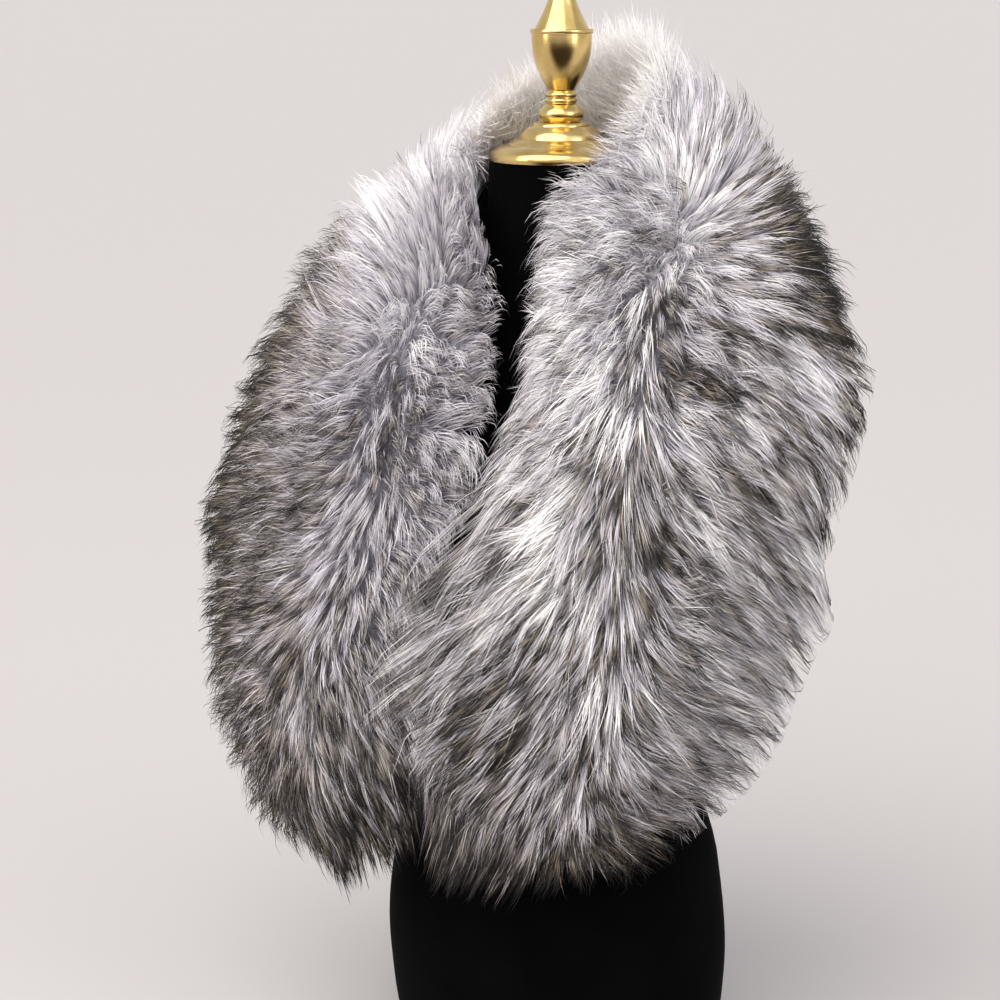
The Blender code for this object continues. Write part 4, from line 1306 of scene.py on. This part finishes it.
def add_camera():
    """Camera in front of the form, turned round its axis, above the cap and pitched down."""
    right = Vector((math.cos(EYE_TURN), math.sin(EYE_TURN), 0))
    level = Vector((-math.sin(EYE_TURN), math.cos(EYE_TURN), 0))
    ahead = level * math.cos(EYE_PITCH) - Vector((0, 0, math.sin(EYE_PITCH)))
    up = right.cross(ahead)
    distance = EYE_BACK * math.cos(EYE_PITCH) + EYE_ABOVE_NECK * math.sin(EYE_PITCH)
    place_at = -level * EYE_BACK + Vector((0, 0, NECK_TOP + EYE_ABOVE_NECK))
    place_at -= right * (AXIS_AT / EYE_FOCAL * distance)
    data = bpy.data.cameras.new("camera")
    data.sensor_width = EYE_SENSOR
    data.lens = EYE_SENSOR * EYE_FOCAL
    data.clip_start, data.clip_end = EYE_RANGE
    camera = bpy.data.objects.new("camera", data)
    turn = Matrix((right, up, -ahead)).transposed().to_4x4()
    camera.matrix_world = Matrix.Translation(place_at) @ turn
    bpy.context.scene.collection.objects.link(camera)
    bpy.context.scene.camera = camera


def add_lamp(name, kind, at, power, colour, **settings):
    """A lamp at a place, turned to the middle of the form."""
    data = bpy.data.lights.new(name, kind)
    data.energy = power
    data.color = linear(colour)[:3]
    for key, value in settings.items():
        setattr(data, key, value)
    lamp = bpy.data.objects.new(name, data)
    lamp.location = at
    lamp.rotation_mode = "QUATERNION"
    lamp.rotation_quaternion = (Vector(MIDDLE) - Vector(at)).to_track_quat("-Z", "Y")
    bpy.context.scene.collection.objects.link(lamp)


def add_floor():
    """A plain pale floor, so wide that it fills the picture behind the form."""
    mesh = bpy.data.meshes.new("floor")
    corners = [(-1, -1), (1, -1), (1, 1), (-1, 1)]
    mesh.from_pydata([(x * FLOOR_REACH, y * FLOOR_REACH, 0) for x, y in corners], [], [(0, 1, 2, 3)])
    paint, shader = new_finish("matt_floor_paint", Roughness=0.9, Specular_IOR_Level=0.1)
    shader.inputs["Base Color"].default_value = linear(FLOOR_COLOUR)
    floor = add_piece("floor", mesh, paint)
    floor.location.z = -FLOOR_DROP
    floor.visible_glossy = False


def add_studio():
    """Bright even room light, a broad key from the front left and a weak fill from the right.

    The room is dark behind the eye, which polished metal shows as a brown band between bright edges.
    Two narrow panels beside the form light it little, and draw the metal's bright bands.
    """
    world = bpy.data.worlds.new("pale_studio")
    world.use_nodes = True
    sky = world.node_tree.nodes["Background"]
    where = node(world, "ShaderNodeTexCoord")
    split = node(world, "ShaderNodeSeparateXYZ", [("Vector", where, "Generated")])
    shade = node(world, "ShaderNodeValToRGB", [("Fac", split, "Z")])
    set_stops(shade, ROOM_STOPS)
    facing = node(world, "ShaderNodeVectorMath", [("Vector", where, "Generated")], operation="DOT_PRODUCT")
    facing.inputs[1].default_value = DARK_SIDE
    behind_eye = [("From Min", 0.55), ("From Max", 0.75)]
    behind = node(world, "ShaderNodeMapRange", [("Value", facing, "Value")], behind_eye)
    under_eye = [("From Min", -0.02), ("From Max", -0.14)]
    below = node(world, "ShaderNodeMapRange", [("Value", split, "Z")], under_eye)
    dark = node(world, "ShaderNodeMath", [(0, behind, "Result"), (1, below, "Result")], operation="MULTIPLY")
    both = [("Factor", dark, "Value"), (MIX_FROM, shade, "Color")]
    room = node(world, "ShaderNodeMix", both, data_type="RGBA")
    room.inputs[MIX_TO].default_value = linear(DARK_COLOUR)
    wire(world, sky, [("Color", room, MIX_OUT)])
    bpy.context.scene.world = world
    for name, at, power, colour in SUNS:
        add_lamp(name, "SUN", at, power, colour, angle=SUN_SPREAD)
    for name, at, power in PANELS:
        add_lamp(name, "AREA", at, power, "#ffffff", shape="RECTANGLE", size=PANEL_WIDTH, size_y=PANEL_HEIGHT)


HALVES = (
    # name, side of the wearer, edges, (combing, shades, lengths), seed of its random draws
    ("left", 1, WRAP_LEFT, (FLOW_LEFT, SHADE_LEFT, LENGTH_LEFT), 100),
    ("right", -1, WRAP_RIGHT, (FLOW_RIGHT, SHADE_RIGHT, LENGTH_RIGHT), 200),
)


def main():
    """Loads the solids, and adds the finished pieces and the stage."""
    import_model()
    materials = {"cloth": ground_knit(), "bed": under_fur(), "fur": long_fur()}
    form_pieces()
    for label, side, edges, fur_tables, seed in HALVES:
        half_of_wrap(label, side, edges, fur_tables, materials, seed)
    add_camera()
    add_floor()
    add_studio()
    bpy.context.scene.view_settings.view_transform = "Standard"


main()
